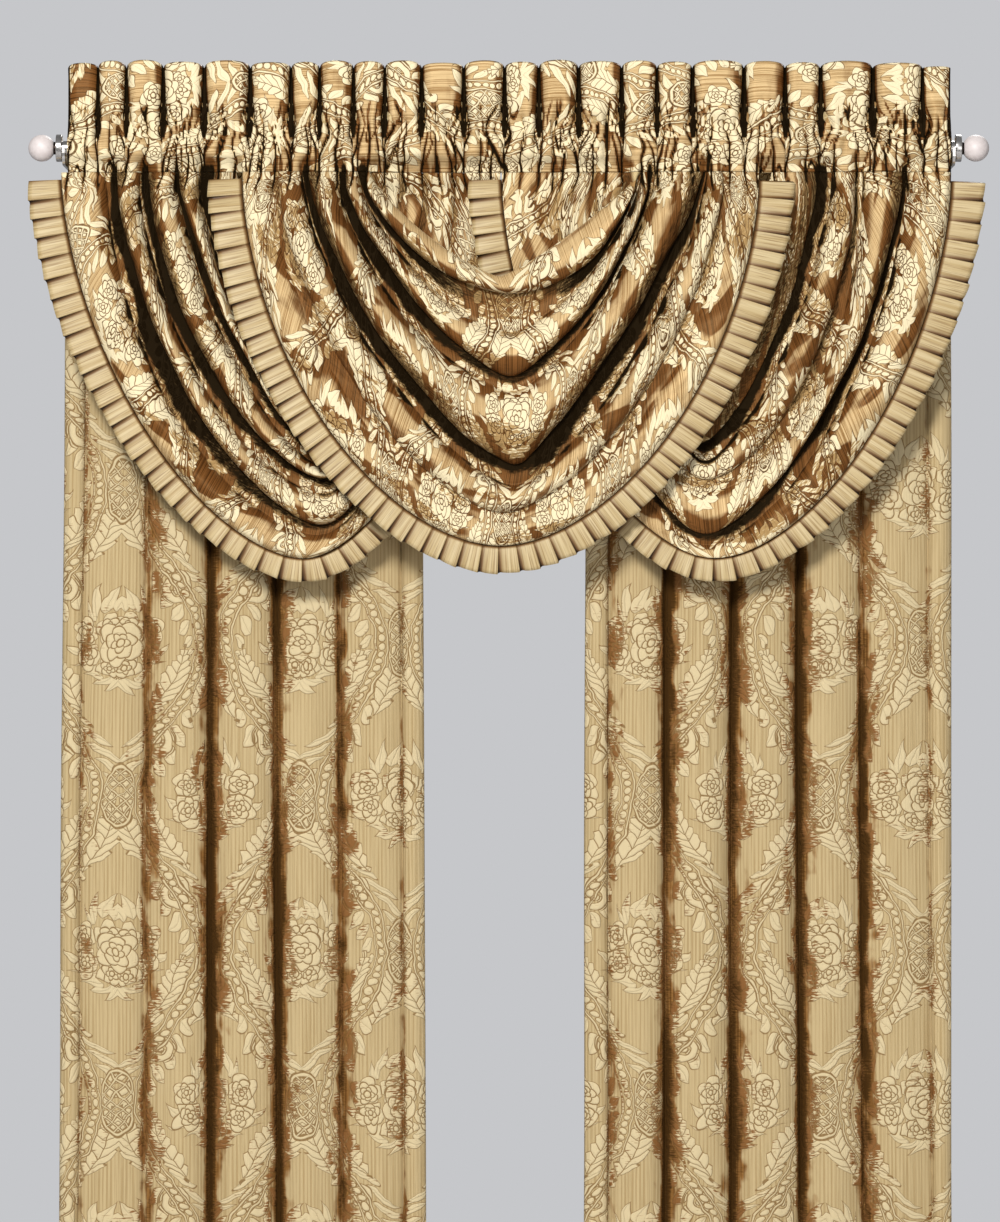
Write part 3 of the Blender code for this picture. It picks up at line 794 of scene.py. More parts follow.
# The same loom's cloth in a matt quality: low contrast, embossed figures, fine ribs, and painted shade in
# its hollows.
PANEL_CLOTH = JacquardFinish(
    name="panel jacquard, woven matt", motif="#C9B790", motif_shaded="#7E5630", outline="#6F5029",
    ground_light="#B8A37A", ground_dark="#A38C63", shaded_light="#8A6234", shaded_dark="#5E3B18",
    deep="#40290F", scale=1.22, slub_pitch=3.0, rib_pitch=6.6, rib=0.9, line_strength=0.75,
    motif_roughness=0.65, ground_roughness=0.6, relief=1.4, ground_shade_starts=0.64, figure_shade_starts=0.44,
    drift_across=34.0, drift_down=46.0)
# The wrong side of each cloth: figure and ground change places, it is duller, and it takes little of the
# painted hollow shade.
SWAG_REVERSE = replace(
    SWAG_CLOTH, name="swag jacquard, reverse", motif="#A98352", motif_shaded="#8E693B",
    ground_light="#D0BA8C", ground_dark="#B39A68", line_strength=0.4, motif_roughness=0.65,
    ground_roughness=0.65, turning=0.2)
PANEL_REVERSE = replace(
    PANEL_CLOTH, name="panel jacquard, reverse", motif="#B4966A", motif_shaded="#9D7C4E",
    ground_light="#CBB68B", ground_dark="#BDA474", line_strength=0.3, turning=0.15)
# Nickel plate, polished: near-white highlights on a grey that is a little warm.
NICKEL = HardFinish("nickel, plated and polished", colour="#D2CEC9", clouding_and_shade="#A9A5A0", metallic=1.0,
                    roughness=0.18)
# The same plate in the ball's neck, painted nearly black as the neck's shade and dark reflection.
NICKEL_NECK_PAINTED_SHADE = replace(NICKEL, name="nickel, blackened in the neck", colour="#2E2622", clouding_and_shade="#15100D",
                      roughness=0.4)
# Solid glass ball, satin-etched: a soft rosy white without clear reflections.
GLASS = HardFinish("crystal glass, satin-etched", colour="#D6CCC8", clouding_and_shade="#CBBFBB", metallic=0.0,
                   roughness=0.45)
# Ribbed satin ribbon cloth, knife-pleated and pressed: stripes run out from the seam, with painted shade in
# the pleats' folds.
TRIM_CLOTH = StripedSatinFinish(
    name="trim satin, ribbed and pleated", light="#C2AE84", middle="#AE9668", dark="#846840",
    turned="#6E4E2A", deep="#2B1A0B", roughness=0.5)


# ---- gathers ----

# One row for each gathered tube of the header, from left to right: its width, how far
# its top stands above or below the header's height, and how far it bulges.
HEADER_TUBES = [
    (52, -2, 8), (49, 1, 17), (64, 2, 19), (71, -1, 18), (80, 1, 21), (71, -2, 19), (49, -1, 16),
    (59, 1, 18), (54, 0, 17), (64, 1, 19), (73, -3, 19), (71, 1, 20), (59, -1, 18), (69, 2, 20),
    (75, 0, 20), (61, 1, 18), (61, -1, 19), (90, 1, 22), (71, 0, 19), (61, -2, 18), (91, 0, 22),
    (87, -3, 20), (48, -8, 8),
]
NARROW_TUBE = 66             # a tube under this width has two narrow folds below it, others three
PAST_ENDS = 40.0             # how far the narrow folds go on past the heading's ends
PINCH_FLAT = 0.8             # half the flat width between two narrow folds
PINCH_ROUND = 9.0            # radius of a narrow fold's sides
# how far the pinches wander aside; the heading's and the swags' meet at the seam
WANDER = Relief(3, 30.0, 34.0)


def gathers(x: np.ndarray) -> tuple[np.ndarray, np.ndarray]:
    """Give the narrow folds where the rod pocket gathers the cloth, two or three to a tube.

    Args:
        x: Places across the heading.

    Returns:
        0 in a pinch to 1 on a fold's crest, and each fold's own random height.
    """
    dice = np.random.default_rng(5)
    edges = [HEADING_LEFT - PAST_ENDS, HEADING_LEFT]
    for width, _, _ in HEADER_TUBES:
        count = 2 if width < NARROW_TUBE else 3
        cuts = (np.arange(1, count + 1) + np.append(dice.uniform(-0.2, 0.2, count - 1), 0.0)) / count
        edges.extend(edges[-1] + width * cuts)
    edges = np.array([*edges, edges[-1] + PAST_ENDS])
    which = np.clip(np.searchsorted(edges, x, side="right") - 1, 0, len(edges) - 2)
    from_edge = np.minimum(x - edges[which], edges[which + 1] - x)
    flank = np.clip((from_edge - PINCH_FLAT) / PINCH_ROUND, 0.0, 1.0)
    height = dice.uniform(0.55, 1.0, len(edges))[which]
    return quarter_round(flank), height


# ---- swags ----

# One row for each edge of a fold, from the neckline down to the hem; folds and hollows
# take turns below them. A row has where the edge leaves the seam on the left and the
# power of that half's curve (1 is a straight V, 2 an ellipse), the same on the right,
# its low point (x, z), how far what lies below it stands out of the swag's back plane
# on each side, and how dark its painted shade is on the left, at the low point and on the right.
CENTRE_EDGES = [
    (-241, 1.28, 228, 1.15, -15, -226, 21, 19, 0.0, 0.0, 0.0),
    (-247, 1.65, 211, 1.85, 0, -256, 4, 4, 1.0, 0.55, 1.0),
    (-262, 1.47, 230, 1.41, 5, -325, 24, 22, 0.0, 0.0, 0.0),
    (-284, 1.38, 242, 1.41, 5, -396, 3, 3, 1.0, 0.75, 1.0),
    (-292, 1.60, 253, 1.36, 14, -424, 29, 27, 0.0, 0.0, 0.0),
    (-347, 1.38, 338, 1.18, 16, -552, 3, 3, 1.0, 0.85, 1.0),
    (-359, 1.44, 343, 1.38, 10, -588, 27, 25, 0.0, 0.0, 0.0),
    (-398, 1.56, 370, 1.56, -10, -632, 13, 12, 0.6, 0.4, 0.55),
    (-412, 1.66, 386, 1.66, -12, -650, 17, 16, 0.0, 0.0, 0.0),
    (-460, 1.77, 432, 1.77, -15, -690, 10, 10, 0.0, 0.0, 0.0),
]
LEFT_EDGES = [
    (-473, 1.30, -287, 1.30, -362, -198, 18, 5, 0.0, 0.0, 0.0),
    (-512, 1.41, -240, 1.40, -345, -470, 2, 0, 1.0, 0.8, 0.6),
    (-538, 1.41, -212, 1.45, -330, -500, 24, 5, 0.0, 0.0, 0.0),
    (-573, 1.30, -190, 1.50, -325, -532, 2, 0, 1.0, 0.8, 0.6),
    (-578, 1.42, -176, 1.50, -325, -552, 26, 5, 0.0, 0.0, 0.0),
    (-624, 1.56, -150, 1.55, -318, -572, 2, 0, 1.0, 0.8, 0.6),
    (-640, 1.66, -132, 1.55, -315, -602, 24, 4, 0.0, 0.0, 0.0),
    (-679, 1.58, -92, 1.60, -322, -652, 2, 0, 1.0, 0.75, 0.5),
    (-700, 1.76, -76, 1.60, -326, -670, 21, 4, 0.0, 0.0, 0.0),
    (-775, 1.66, -15, 1.66, -355, -712, 8, 1, 0.0, 0.0, 0.0),
]
RIGHT_EDGES = [
    (262, 1.30, 456, 1.30, 335, -198, 4, 12, 0.0, 0.0, 0.0),
    (212, 1.45, 534, 1.47, 332, -515, 0, 2, 0.6, 0.9, 1.0),
    (196, 1.50, 561, 1.47, 338, -546, 5, 25, 0.0, 0.0, 0.0),
    (152, 1.50, 601, 1.71, 336, -574, 0, 6, 0.5, 0.55, 0.75),
    (138, 1.55, 614, 1.86, 336, -600, 5, 25, 0.0, 0.0, 0.0),
    (84, 1.62, 682, 1.50, 343, -668, 0, 2, 0.5, 0.8, 1.0),
    (66, 1.66, 690, 1.64, 342, -688, 4, 20, 0.0, 0.0, 0.0),
    (-12, 1.72, 766, 1.72, 357, -711, 1, 8, 0.0, 0.0, 0.0),
]


# Points across a pleat of the trim, from its left: their share of its width, how far
# they stand out and how dark their painted shade is.
PLEAT = [
    (0.0, 0.0, 0.6), (0.07, 0.15, 0.3), (0.2, 0.38, 0.12), (0.4, 0.6, 0.0), (0.56, 0.76, 0.0),
    (0.7, 0.9, 0.0), (0.8, 1.0, 0.0), (0.84, 0.97, 0.15), (0.84, 0.6, 0.9), (0.9, 0.2, 1.0),
]
PLEAT_OUT = (1.0, 5.5)       # how far a pleat stands out at the hem and at its own edge
TRIM_ROWS = 8                # points from the trim's seam to its edge
TRIM_SEAM = 0.7              # the trim starts this far beyond the hem
TRIM_BOW = 2.2               # how far the trim bows out in the middle


@dataclass(frozen=True)
class Rows:
    """A swag's rows of points, from its neckline down to its hem.

    Attributes:
        table: The swag's edges.
        which: For each row the edge above it. Even ones have a fold below them.
        part: Each row's share of the way to the next edge.
        x: Across places, rows by columns, in mm.
        z: Heights, in mm.
        from_low: Lengths from the low point, in mm.
        down: Lengths from the first row, in mm.
    """

    table: np.ndarray
    which: np.ndarray
    part: np.ndarray
    x: np.ndarray
    z: np.ndarray
    from_low: np.ndarray
    down: np.ndarray

    @property
    def on_fold(self) -> np.ndarray:
        """Return which rows lie on a fold; the others lie in a hollow."""
        return (self.which % 2 == 0)[:, None]

    def relief(self, seed: int, across: float, along: float) -> np.ndarray:
        """Return a smooth random relief over the rows' own lengths."""
        return Relief(seed, across, along).at(self.from_low + SWAG_READ, self.down)


@dataclass
class Swag:
    """One swag: its folds run from the seam down to a low point and back.

    Attributes:
        name: left, right or centre.
        edges: The table of its folds' edges.
        back_y: Where its back plane meets the seam.
        out_left: How far that plane moves out below the seam on the left.
        out_right: The same on the right.
        out_drop: The drop within which it moves out.
        pleats: Number of pleats in its trim.
        trim_side: Width of the trim at the seam.
        trim_low: Width of the trim at the low point.
        lay: Where along its length the figured repeat starts.
        dents: Where a fold is pressed in: x, z, half width, half height and strength.
        swell: How much deeper the folds are than in the table.
        at_seam: Share of its depth that a fold has at the seam.
        fold_drop: The drop within which a fold opens to its whole depth.
        press: How deep a fold is where it is pressed in.
        neck_stand: How far the neckline stands out.
        seam_folds: Height of the pocket's narrow folds where the swag is sewn on.
        seam_reach: The drop within which these folds fade out.
        low_reach: How far from the low point the table's middle painted shade reaches.
        lean: How far a crest sags over the hollow below it.
        bias: How far the threads lean out of square at the sides.
        fold_rows: Points across a fold.
        hollow_rows: Points across a hollow.
        columns: Points along a fold.
    """

    name: str
    edges: list
    back_y: float
    out_left: float
    out_right: float
    out_drop: float
    pleats: int
    trim_side: float
    trim_low: float
    lay: float
    dents: list
    swell: float = 1.35
    at_seam: float = 0.5
    fold_drop: float = 32.0
    press: float = 9.0
    neck_stand: float = 3.0
    seam_folds: float = 8.0
    seam_reach: float = 75.0
    low_reach: float = 120.0
    lean: float = 5.0
    bias: float = 0.3
    fold_rows: int = 27
    hollow_rows: int = 8
    columns: int = 221

    def fold_line(self, left: float, left_bend: float, right: float, right_bend: float,
                  low_x: float, low_z: float) -> np.ndarray:
        """Lay out one line along the folds.

        Args:
            left: Where it leaves the seam.
            left_bend: The power of its left half's curve.
            right: Where it comes back to the seam.
            right_bend: The power of its right half's curve.
            low_x: Across place of its low point.
            low_z: Height of its low point.

        Returns:
            Columns by (x, z, length from the low point), evenly spaced on each side.
        """
        fine = np.linspace(0.0, math.pi / 2, 500)
        halves = []
        for top_x, bend, sign in ((left, left_bend, -1.0), (right, right_bend, 1.0)):
            x = low_x + (top_x - low_x) * np.cos(fine) ** (2.0 / bend)
            z = SEAM_Z - (SEAM_Z - low_z) * np.sin(fine) ** (2.0 / bend)
            length = running(np.hypot(np.diff(x), np.diff(z)))
            even = np.linspace(0.0, length[-1], self.columns // 2 + 1)
            x, z = np.interp(even, length, x), np.interp(even, length, z)
            halves.append(np.stack((x, z, sign * (length[-1] - even)), axis=1))
        line = np.concatenate((halves[0], halves[1][-2::-1]))
        # the low point is rounded off
        near_low = 0.5 * bell(line[1:-1, 2:], 45.0)
        for _ in range(8):
            line[1:-1, :2] = mix(line[1:-1, :2], (line[:-2, :2] + line[2:, :2]) / 2.0, near_low)
        return line

    def rows(self) -> Rows:
        """Lay out the rows between the table's edges, closer at the sides of a fold."""
        table = np.array(self.edges, dtype=float)
        which, share = [], []
        for edge in range(len(table) - 1):
            is_hollow = edge % 2 == 1
            count = self.hollow_rows if is_hollow else self.fold_rows
            even = np.arange(count) / count
            which.extend([edge] * count)
            share.extend(even if is_hollow else 0.5 - 0.5 * np.cos(math.pi * even))
        which, share = np.array(which + [len(table) - 2]), np.array(share + [1.0])
        lines = np.array([self.fold_line(*mix(table[edge, :6], table[edge + 1, :6], part))
                          for edge, part in zip(which, share)])
        x, z, from_low = np.moveaxis(lines, 2, 0)
        step = np.hypot(np.diff(x, axis=0, prepend=x[:1]), np.diff(z, axis=0, prepend=z[:1]))
        return Rows(table, which, share[:, None], x, z, from_low, np.cumsum(step, axis=0))

    def shade(self, rows: Rows) -> np.ndarray:
        """Say how deep between its folds each point lies.

        Args:
            rows: The swag's rows.

        Returns:
            How much painted shade each point gets: 1 in a hollow, which carries a little way up the folds
                beside it, to 0 on a crest.
        """
        table, which, part, low = rows.table, rows.which, rows.part, rows.from_low[0]
        dark_side = np.where(low < 0.0, table[:, 8:9], table[:, 10:11])
        darks = mix(dark_side, table[:, 9:10], bell(low, self.low_reach))
        above, below = np.concatenate((np.zeros((1, self.columns)), darks[:-1]))[which], darks[which + 1]
        first = np.searchsorted(which, np.arange(len(table)))
        first[-1] = len(which) - 1
        breadth = np.hypot(np.diff(rows.x[first], axis=0), np.diff(rows.z[first], axis=0))[which]
        # painted shade: a hollow's dark carries up the folds beside it with ragged edges, and their flanks
        # are painted brown
        ragged = 4.0 * rows.relief(31, 34.0, 18.0) + 2.0 * rows.relief(33, 13.0, 9.0)
        near_top = above * ease((6.0 + ragged - part * breadth) / 9.0)
        near_foot = below * ease((10.0 + ragged - (1.0 - part) * breadth) / 13.0)
        turned = 0.68 * below * ease((part - 0.4) / 0.35) + 0.5 * above * ease((0.28 - part) / 0.25)
        reach = 0.44 + 0.3 * rows.relief(67, 110.0, 400.0)
        in_hollow = darks[which] * mix(1.0, 0.5, ease((part - reach + 0.03 * ragged) / 0.45))
        return np.where(rows.on_fold, np.maximum(np.maximum(near_top, near_foot), turned), in_hollow)

    def cloth(self) -> Cloth:
        """Return the swag's cloth, shaped fold by fold."""
        rows = self.rows()
        table, which, part, x, z = rows.table, rows.which, rows.part, rows.x, rows.z
        drop = SEAM_Z - z
        side = ease((np.linspace(0.0, 1.0, self.columns) - 0.4) / 0.35)
        # how far each row stands out: rounded folds on a flat hollow
        outs = mix(table[:, 6:7], table[:, 7:8], side)
        floors = outs.copy()
        floors[0] = self.neck_stand
        floors[2:-1:2] = outs[1:-2:2]
        floor = mix(floors[which], floors[which + 1], part)
        tube = np.where(rows.on_fold, (1.0 - np.abs(2.0 * part - 1.0) ** 2.2) ** 0.6, 0.0)
        opened = mix(self.at_seam, 1.0, ease(drop / self.fold_drop))
        swelling = 1.0 + 0.16 * rows.relief(29, 150.0, 45.0)
        depth = floor + (outs[which] * self.swell * swelling - floor) * tube * opened
        # places where a fold is pressed in
        pressed = sum((strength * np.exp(-((x - dent_x) / wide) ** 2 - ((z - dent_z) / high) ** 2)
                       for dent_x, dent_z, wide, high, strength in self.dents), np.zeros_like(x))
        depth -= self.press * pressed * tube
        # crumples where the cloth is free, and the pocket's narrow folds near the seam
        bottom = np.linspace(0.0, 1.0, len(which))[:, None]
        free = ease(bottom / 0.06) * ease((1.0 - bottom) / 0.06) * ease((drop + 4.0) / 40.0)
        pulls = 0.5 - np.abs(rows.relief(37, 120.0, 11.0))
        crumples = 2.4 * rows.relief(11, 190.0, 55.0) + 1.5 * rows.relief(23, 50.0, 19.0) + 1.6 * pulls
        wander = WANDER.at(x + HEADING_READ[0], z + HEADING_READ[1])
        pinch, height = gathers(x + 6.0 * ease(drop / 34.0) * wander)
        near_seam = ease((self.seam_reach - drop) / 65.0)
        depth += free * crumples + near_seam * height * self.seam_folds * (pinch - 0.5)
        # painted shade: dark in the pocket's pinches near the seam, half dark in the pressed dents, and in
        # random soft brown patches where the cloth hangs free
        hollow = np.maximum(self.shade(rows), near_seam * 0.95 * ease((0.8 - pinch) / 0.5))
        hollow = np.maximum(hollow, 0.5 * pressed)
        hollow = np.maximum(hollow, 0.5 * ease((-0.1 - rows.relief(61, 150.0, 24.0)) / 0.35) * free)
        # crests sag over the hollows below them
        tangent = np.gradient(np.stack((x, z), axis=2), axis=1)
        tangent /= np.linalg.norm(tangent, axis=2)[..., None]
        shift = free * (self.lean * tube * opened + 3.0 * rows.relief(53, 90.0, 60.0))
        plane = self.back_y - mix(self.out_left, self.out_right, side) * ease(drop / self.out_drop)
        points = np.stack((x + tangent[..., 1] * shift, plane - depth, z - tangent[..., 0] * shift), axis=2)
        span = row_steps(points).cumsum(axis=0)
        leaning = self.bias * np.clip(rows.from_low / 300.0, -1.0, 1.0)
        lengths = np.stack((rows.from_low + leaning * span, span + self.lay), axis=2)
        return Cloth(f"swag_{self.name}_cloth", points, lengths, hollow, JACQUARD_THICK)

    def trim(self, hem: np.ndarray) -> Cloth:
        """Return the knife-pleated trim that is sewn along the hem.

        Args:
            hem: The swag's last row of points.

        Returns:
            The trim's cloth, from its seam out to its edge.
        """
        tangents = np.gradient(hem, axis=0)
        normals = np.stack((tangents[:, 2], np.zeros(len(hem)), -tangents[:, 0]), axis=1)
        normals /= np.linalg.norm(normals, axis=1)[:, None]
        normals[:, 2] = np.minimum(normals[:, 2], 0.0)
        start = TRIM_START / running(np.linalg.norm(np.diff(hem, axis=0), axis=1))[-1]
        folds = np.arange(self.pleats + 1) + np.random.default_rng(19).uniform(-0.09, 0.09, self.pleats + 1)
        folds = (folds - folds[0]) / (folds[-1] - folds[0])
        shares, raised, hidden = np.array([
            (mix(start, 1.0 - start, mix(folds[pleat], folds[pleat + 1], at)), out, dark)
            for pleat in range(self.pleats) for at, out, dark in PLEAT]).T
        at = np.linspace(0.0, 1.0, len(hem))
        inner, outward = [np.stack([np.interp(shares, at, values[:, axis]) for axis in range(3)], axis=1)
                          for values in (hem, normals)]
        low = np.sin(math.pi * shares) ** 2
        uneven = Relief(71, 0.6, 1.0).at(np.arange(len(shares)) / len(PLEAT), np.zeros(len(shares)))
        width = mix(self.trim_side, self.trim_low, low) + 3.0 * raised + 1.4 * uneven
        across = np.linspace(0.0, 1.0, TRIM_ROWS)[:, None]
        points = inner + outward * mix(TRIM_SEAM, width[:, None], across[..., None])
        points[..., 1] -= mix(*PLEAT_OUT, across) * raised + TRIM_BOW * np.sin(math.pi * across) ** 0.8
        along = running(np.linalg.norm(np.diff(points[-1], axis=0), axis=1))
        lengths = np.stack(np.broadcast_arrays(along, across * width), axis=2)
        # painted shade: dark where a pleat tucks under the next, more towards the edge, and a painted
        # shadow line along the seam
        at_seam = np.clip(1.0 - across / 0.09, 0.0, 1.0)
        hollow = np.clip(np.maximum(hidden * mix(0.35, 1.0, across), at_seam * 0.9), 0.0, 1.0)
        return Cloth(f"trim_{self.name}_pleated", points, lengths, hollow, TRIM_THICK)

    def make(self, cloth: Cloth, sides: tuple[Material, Material], ribbed: Material) -> None:
        """Build the swag and its trim.

        Args:
            cloth: The swag's cloth.
            sides: The jacquard's two sides.
            ribbed: The trim's material.
        """
        cloth.hang(sides, f"swag_{self.name}", Slot.SWAG, Held.DRAPED, "heading_gathered")
        trim = self.trim(cloth.points[-1])
        trim.hang((ribbed, ribbed), f"trim_{self.name}", Slot.TRIM, Held.HUNG, cloth.name)


# ---- heading ----

# The heading's shape over its height, as heights and values: y of its middle, how far a
# tube stands out of it, half the gap between two tubes of middling width, and y of its back.
MIDDLE = ([-42, -28, -14, 5, 24, 40, 78, 160], [-139, -145, -151.9, -151.9, -141, -134, -129, -129])
SWELL = ([-42, -30, -14, 5, 24, 40, 60, 84, 160], [10, 12, 12, 12, 15, 17, 21, 24, 23])
GAP = ([0, 30, 56, 84, 149], [1.4, 3.2, 6.2, 3.2, 1.5])
POCKET_BACK = ([-42, -14, 5, 24], [-125, -118.1, -118.1, -131])
MIDDLING_TUBE = 62.0
MIDDLING_BULGE = 18.0
ROD_HALF = 16.0              # the pocket keeps clear of the rod up to this height
ROD_FRONT_Y = -150.2         # and stands no further back than this there
CREASES = Relief(9, 19.0, 230.0)
COUNTER_CREASES = Relief(14, 26.0, 90.0)


@dataclass(frozen=True)
class Columns:
    """The heading's columns of points.

    Attributes:
        x: Where each one is, in mm.
        tube: The number of the tube it is in.
        share: Its share of the way across the tube.
        width: That tube's width.
        rise: How far that tube's top stands above the header's height.
        bulge: How far that tube bulges.
    """

    x: np.ndarray
    tube: np.ndarray
    share: np.ndarray
    width: np.ndarray
    rise: np.ndarray
    bulge: np.ndarray


@dataclass
class Heading:
    """The gathered heading: a stand-up ruffle above a pocket that holds the rod.

    Attributes:
        top_z: Height of the ruffle.
        top_round: How far a tube's top falls away to its sides.
        tube_points: Points across one tube.
        front_rows: Points down its front.
        back_rows: Points down its back.
        layer_gap: Distance between the ruffle's two layers.
        tube_round: Radius of a tube's rounded sides.
        gather_z: Where the tubes give way to the pocket's narrow folds.
        waist_long: Half the length of a tube's waist.
        waist_narrow: Share of its width that a tube loses there.
        slant: How far a crease that runs aslant moves aside for each mm down.
        shade_back: How much painted shade the back gets, 0 to 1.
        repeat: Length of the figured repeat, of which each tube shows another part.
    """

    top_z: float = 149.0
    top_round: float = 10.0
    tube_points: int = 31
    front_rows: int = 58
    back_rows: int = 8
    layer_gap: float = 3.0
    tube_round: float = 15.0
    gather_z: float = 60.0
    waist_long: float = 30.0
    waist_narrow: float = 0.5
    slant: float = 0.35
    shade_back: float = 0.15
    repeat: float = 440.0

    def columns(self) -> Columns:
        """Lay out the columns, closer at the gaps, where the cloth turns sharply."""
        even = np.linspace(0.0, 1.0, self.tube_points)[:-1]
        place = mix(even, 0.5 - 0.5 * np.cos(math.pi * even), 0.5)
        tubes = np.array(HEADER_TUBES, dtype=float)
        lefts = HEADING_LEFT + running(tubes[:, 0])
        tube = np.append(np.repeat(np.arange(len(tubes)), len(place)), len(tubes) - 1)
        share = np.append(np.tile(place, len(tubes)), 1.0)
        width, rise, bulge = tubes[tube].T
        return Columns(lefts[tube] + width * share, tube, share, width, rise, bulge)

    def front(self, at: Columns, z: np.ndarray) -> tuple[np.ndarray, np.ndarray]:
        """Shape the front: the ruffle's tubes, their waists and the pocket's narrow folds.

        Args:
            at: The columns.
            z: Heights of the points, rows by columns.

        Returns:
            The y of each point, and how much painted shade it gets from 0 to 1.
        """
        x = np.broadcast_to(at.x, z.shape)
        random_x, random_z = x + HEADING_READ[0], z + HEADING_READ[1]
        uneven = 14.0 * Relief(2, 40.0, 500.0).at(random_x, random_z)
        gathered = ease((self.gather_z + uneven - z) / 34.0)
        # tubes of the ruffle, their gaps widest just above the waist
        from_gap = np.minimum(at.share, 1.0 - at.share) * at.width
        gap = np.interp(z, *GAP) * at.width / MIDDLING_TUBE
        tube = quarter_round(np.clip((from_gap - gap) / self.tube_round, 0.0, 1.0))
        # each tube draws in to a waist of its own and fans out again below it
        dice = np.random.default_rng(12)
        waist = dice.uniform(22.0, 42.0, len(HEADER_TUBES))[at.tube]
        aside = dice.uniform(-7.0, 7.0, len(HEADER_TUBES))[at.tube]
        centre = at.x - at.width * (at.share - 0.5)
        drawn_in = bell(z - waist, self.waist_long)
        converged = centre + (x - centre - aside * drawn_in) / (1.0 - self.waist_narrow * drawn_in)
        # the pocket's narrow folds wander, and meet the swags' own at the seam
        over_seam = ease((z - HEADING_FOOT_Z) / 34.0)
        warp = 7.0 * WANDER.at(random_x, random_z) * gathered * over_seam
        pinch, height = gathers(mix(x, converged, 0.5 * over_seam) + warp)
        tube_edge = mix(tube, 1.0, ease((34.0 - z) / 40.0))
        fold = mix(tube, pinch * mix(0.6, 1.0, tube_edge), gathered)
        swell = np.interp(z, *SWELL) * mix(at.bulge / MIDDLING_BULGE, height, gathered)
        # creases run straight down and aslant through the waist and the pocket, with puffs between
        crumpled = ease((96.0 - z) / 44.0) * ease((z + 52.0) / 16.0) * mix(0.2, 1.0, tube_edge)
        along = (converged + HEADING_READ[0], random_z)
        aslant = (converged + HEADING_READ[0] - self.slant * z, random_z)
        creased = 9.0 * CREASES.creases(*along) ** 5 + 5.0 * COUNTER_CREASES.creases(*aslant) ** 5 - 4.0
        puffs = 3.5 * Relief(21, 20.0, 30.0).at(*along)
        soft = 1.2 * Relief(17, 30.0, 60.0).at(random_x, random_z)
        y = np.interp(z, *MIDDLE) - swell * fold + crumpled * (creased - puffs) - soft
        y = np.where(np.abs(z) < ROD_HALF, np.minimum(y, ROD_FRONT_Y), y)
        # painted shade: dark in the gaps, the pinches and the creases, and on each tube's right side, away
        # from the light
        dark = np.maximum(ease((0.62 - np.minimum(fold, tube_edge)) / 0.34),
                          mix(0.9, 0.45, over_seam) * ease((0.85 - fold) / 0.45))
        dark = np.maximum(dark, (1.0 - gathered) * 0.4 * ease((at.share - 0.7) / 0.22))
        lines = np.maximum(CREASES.crease_lines(*along, 3.4),
                           0.85 * COUNTER_CREASES.crease_lines(*aslant, 3.0))
        dark = np.maximum(dark, ease(1.3 * crumpled) * lines)
        # painted shade: the first tube is darker than the others above its waist, as if it lay in shade
        return y, np.where(at.tube == 0, np.maximum(dark, 0.42 * ease((z - 20.0) / 40.0)), dark)

    def lower_edge(self, x: np.ndarray, swags: list[Cloth]) -> tuple[np.ndarray, np.ndarray]:
        """Follow the folds of the swags that are sewn to the lower edge.

        Args:
            x: The columns' places.
            swags: The swags' cloths.

        Returns:
            The y of the edge in each column, and the swags' painted shade there from 0 to 1.
        """
        edge_y, edge_dark = np.full(len(x), -128.0), np.zeros(len(x))
        for swag in swags:
            for column in (0, -1):
                edge = swag.points[:, column]
                order = np.argsort(edge[:, 0])
                y = np.interp(x, edge[order, 0], edge[order, 1], left=0.0, right=0.0)
                shade = np.interp(x, edge[order, 0], swag.hollow[order, column])
                edge_dark = np.where(y < edge_y, shade, edge_dark)
                edge_y = np.minimum(edge_y, y)
        return edge_y, edge_dark

    def cloth(self, swags: list[Cloth]) -> Cloth:
        """Return the heading's cloth: up its front, over the top fold and down its back.

        Args:
            swags: The swags' cloths, whose top edges the heading's lower edge follows.

        Returns:
            The heading's cloth.
        """
        at = self.columns()
        hump = np.sin(math.pi * at.share) ** 0.4
        top = self.top_z - self.top_round + (self.top_round + at.rise) * hump
        z = mix(HEADING_FOOT_Z, top, np.linspace(0.0, 1.0, self.front_rows)[:, None])
        front, dark = self.front(at, z)
        edge_y, edge_dark = self.lower_edge(at.x, swags)
        towards = ease((-8.0 - z) / 33.0)
        front = mix(front, edge_y, towards)
        # the swags' painted shade carries up into the pocket's foot
        dark = np.maximum(dark, edge_dark ** 2 * towards)
        # the back follows the front closely and opens into the pocket round the rod
        back_z = mix(top, HEADING_FOOT_Z, np.linspace(0.0, 1.0, self.back_rows)[:, None])
        follow = np.stack([np.interp(back_z[:, n], z[:, n], front[:, n]) for n in range(len(at.x))], axis=1)
        pocket = np.interp(back_z, *POCKET_BACK)
        behind = mix(follow + self.layer_gap, pocket, ease((34.0 - back_z) / 14.0))
        behind = np.where(back_z < ROD_HALF, np.maximum(behind, pocket), behind)
        points = np.concatenate([np.stack(np.broadcast_arrays(at.x, y, height), axis=2)
                                 for y, height in ((front, z), (behind[1:], back_z[1:]))])
        shift, lift = np.random.default_rng(8).uniform(0.0, self.repeat, (2, len(HEADER_TUBES)))
        unfolded = running(np.hypot(np.diff(at.x), 0.6 * np.diff(front[-8])))
        climb = row_steps(points).mean(axis=1).cumsum()[:, None]
        lengths = np.stack(np.broadcast_arrays(climb + lift[at.tube], unfolded + shift[at.tube]), axis=2)
        # the back gets a little even painted shade
        hollow = np.concatenate((dark, np.full((self.back_rows - 1, len(at.x)), self.shade_back)))
        # the grid climbs the front, so its columns are turned to face the room
        return Cloth("heading_gathered", points[:, ::-1], lengths[:, ::-1], hollow[:, ::-1], HEADING_THICK)


# ---- side panels ----

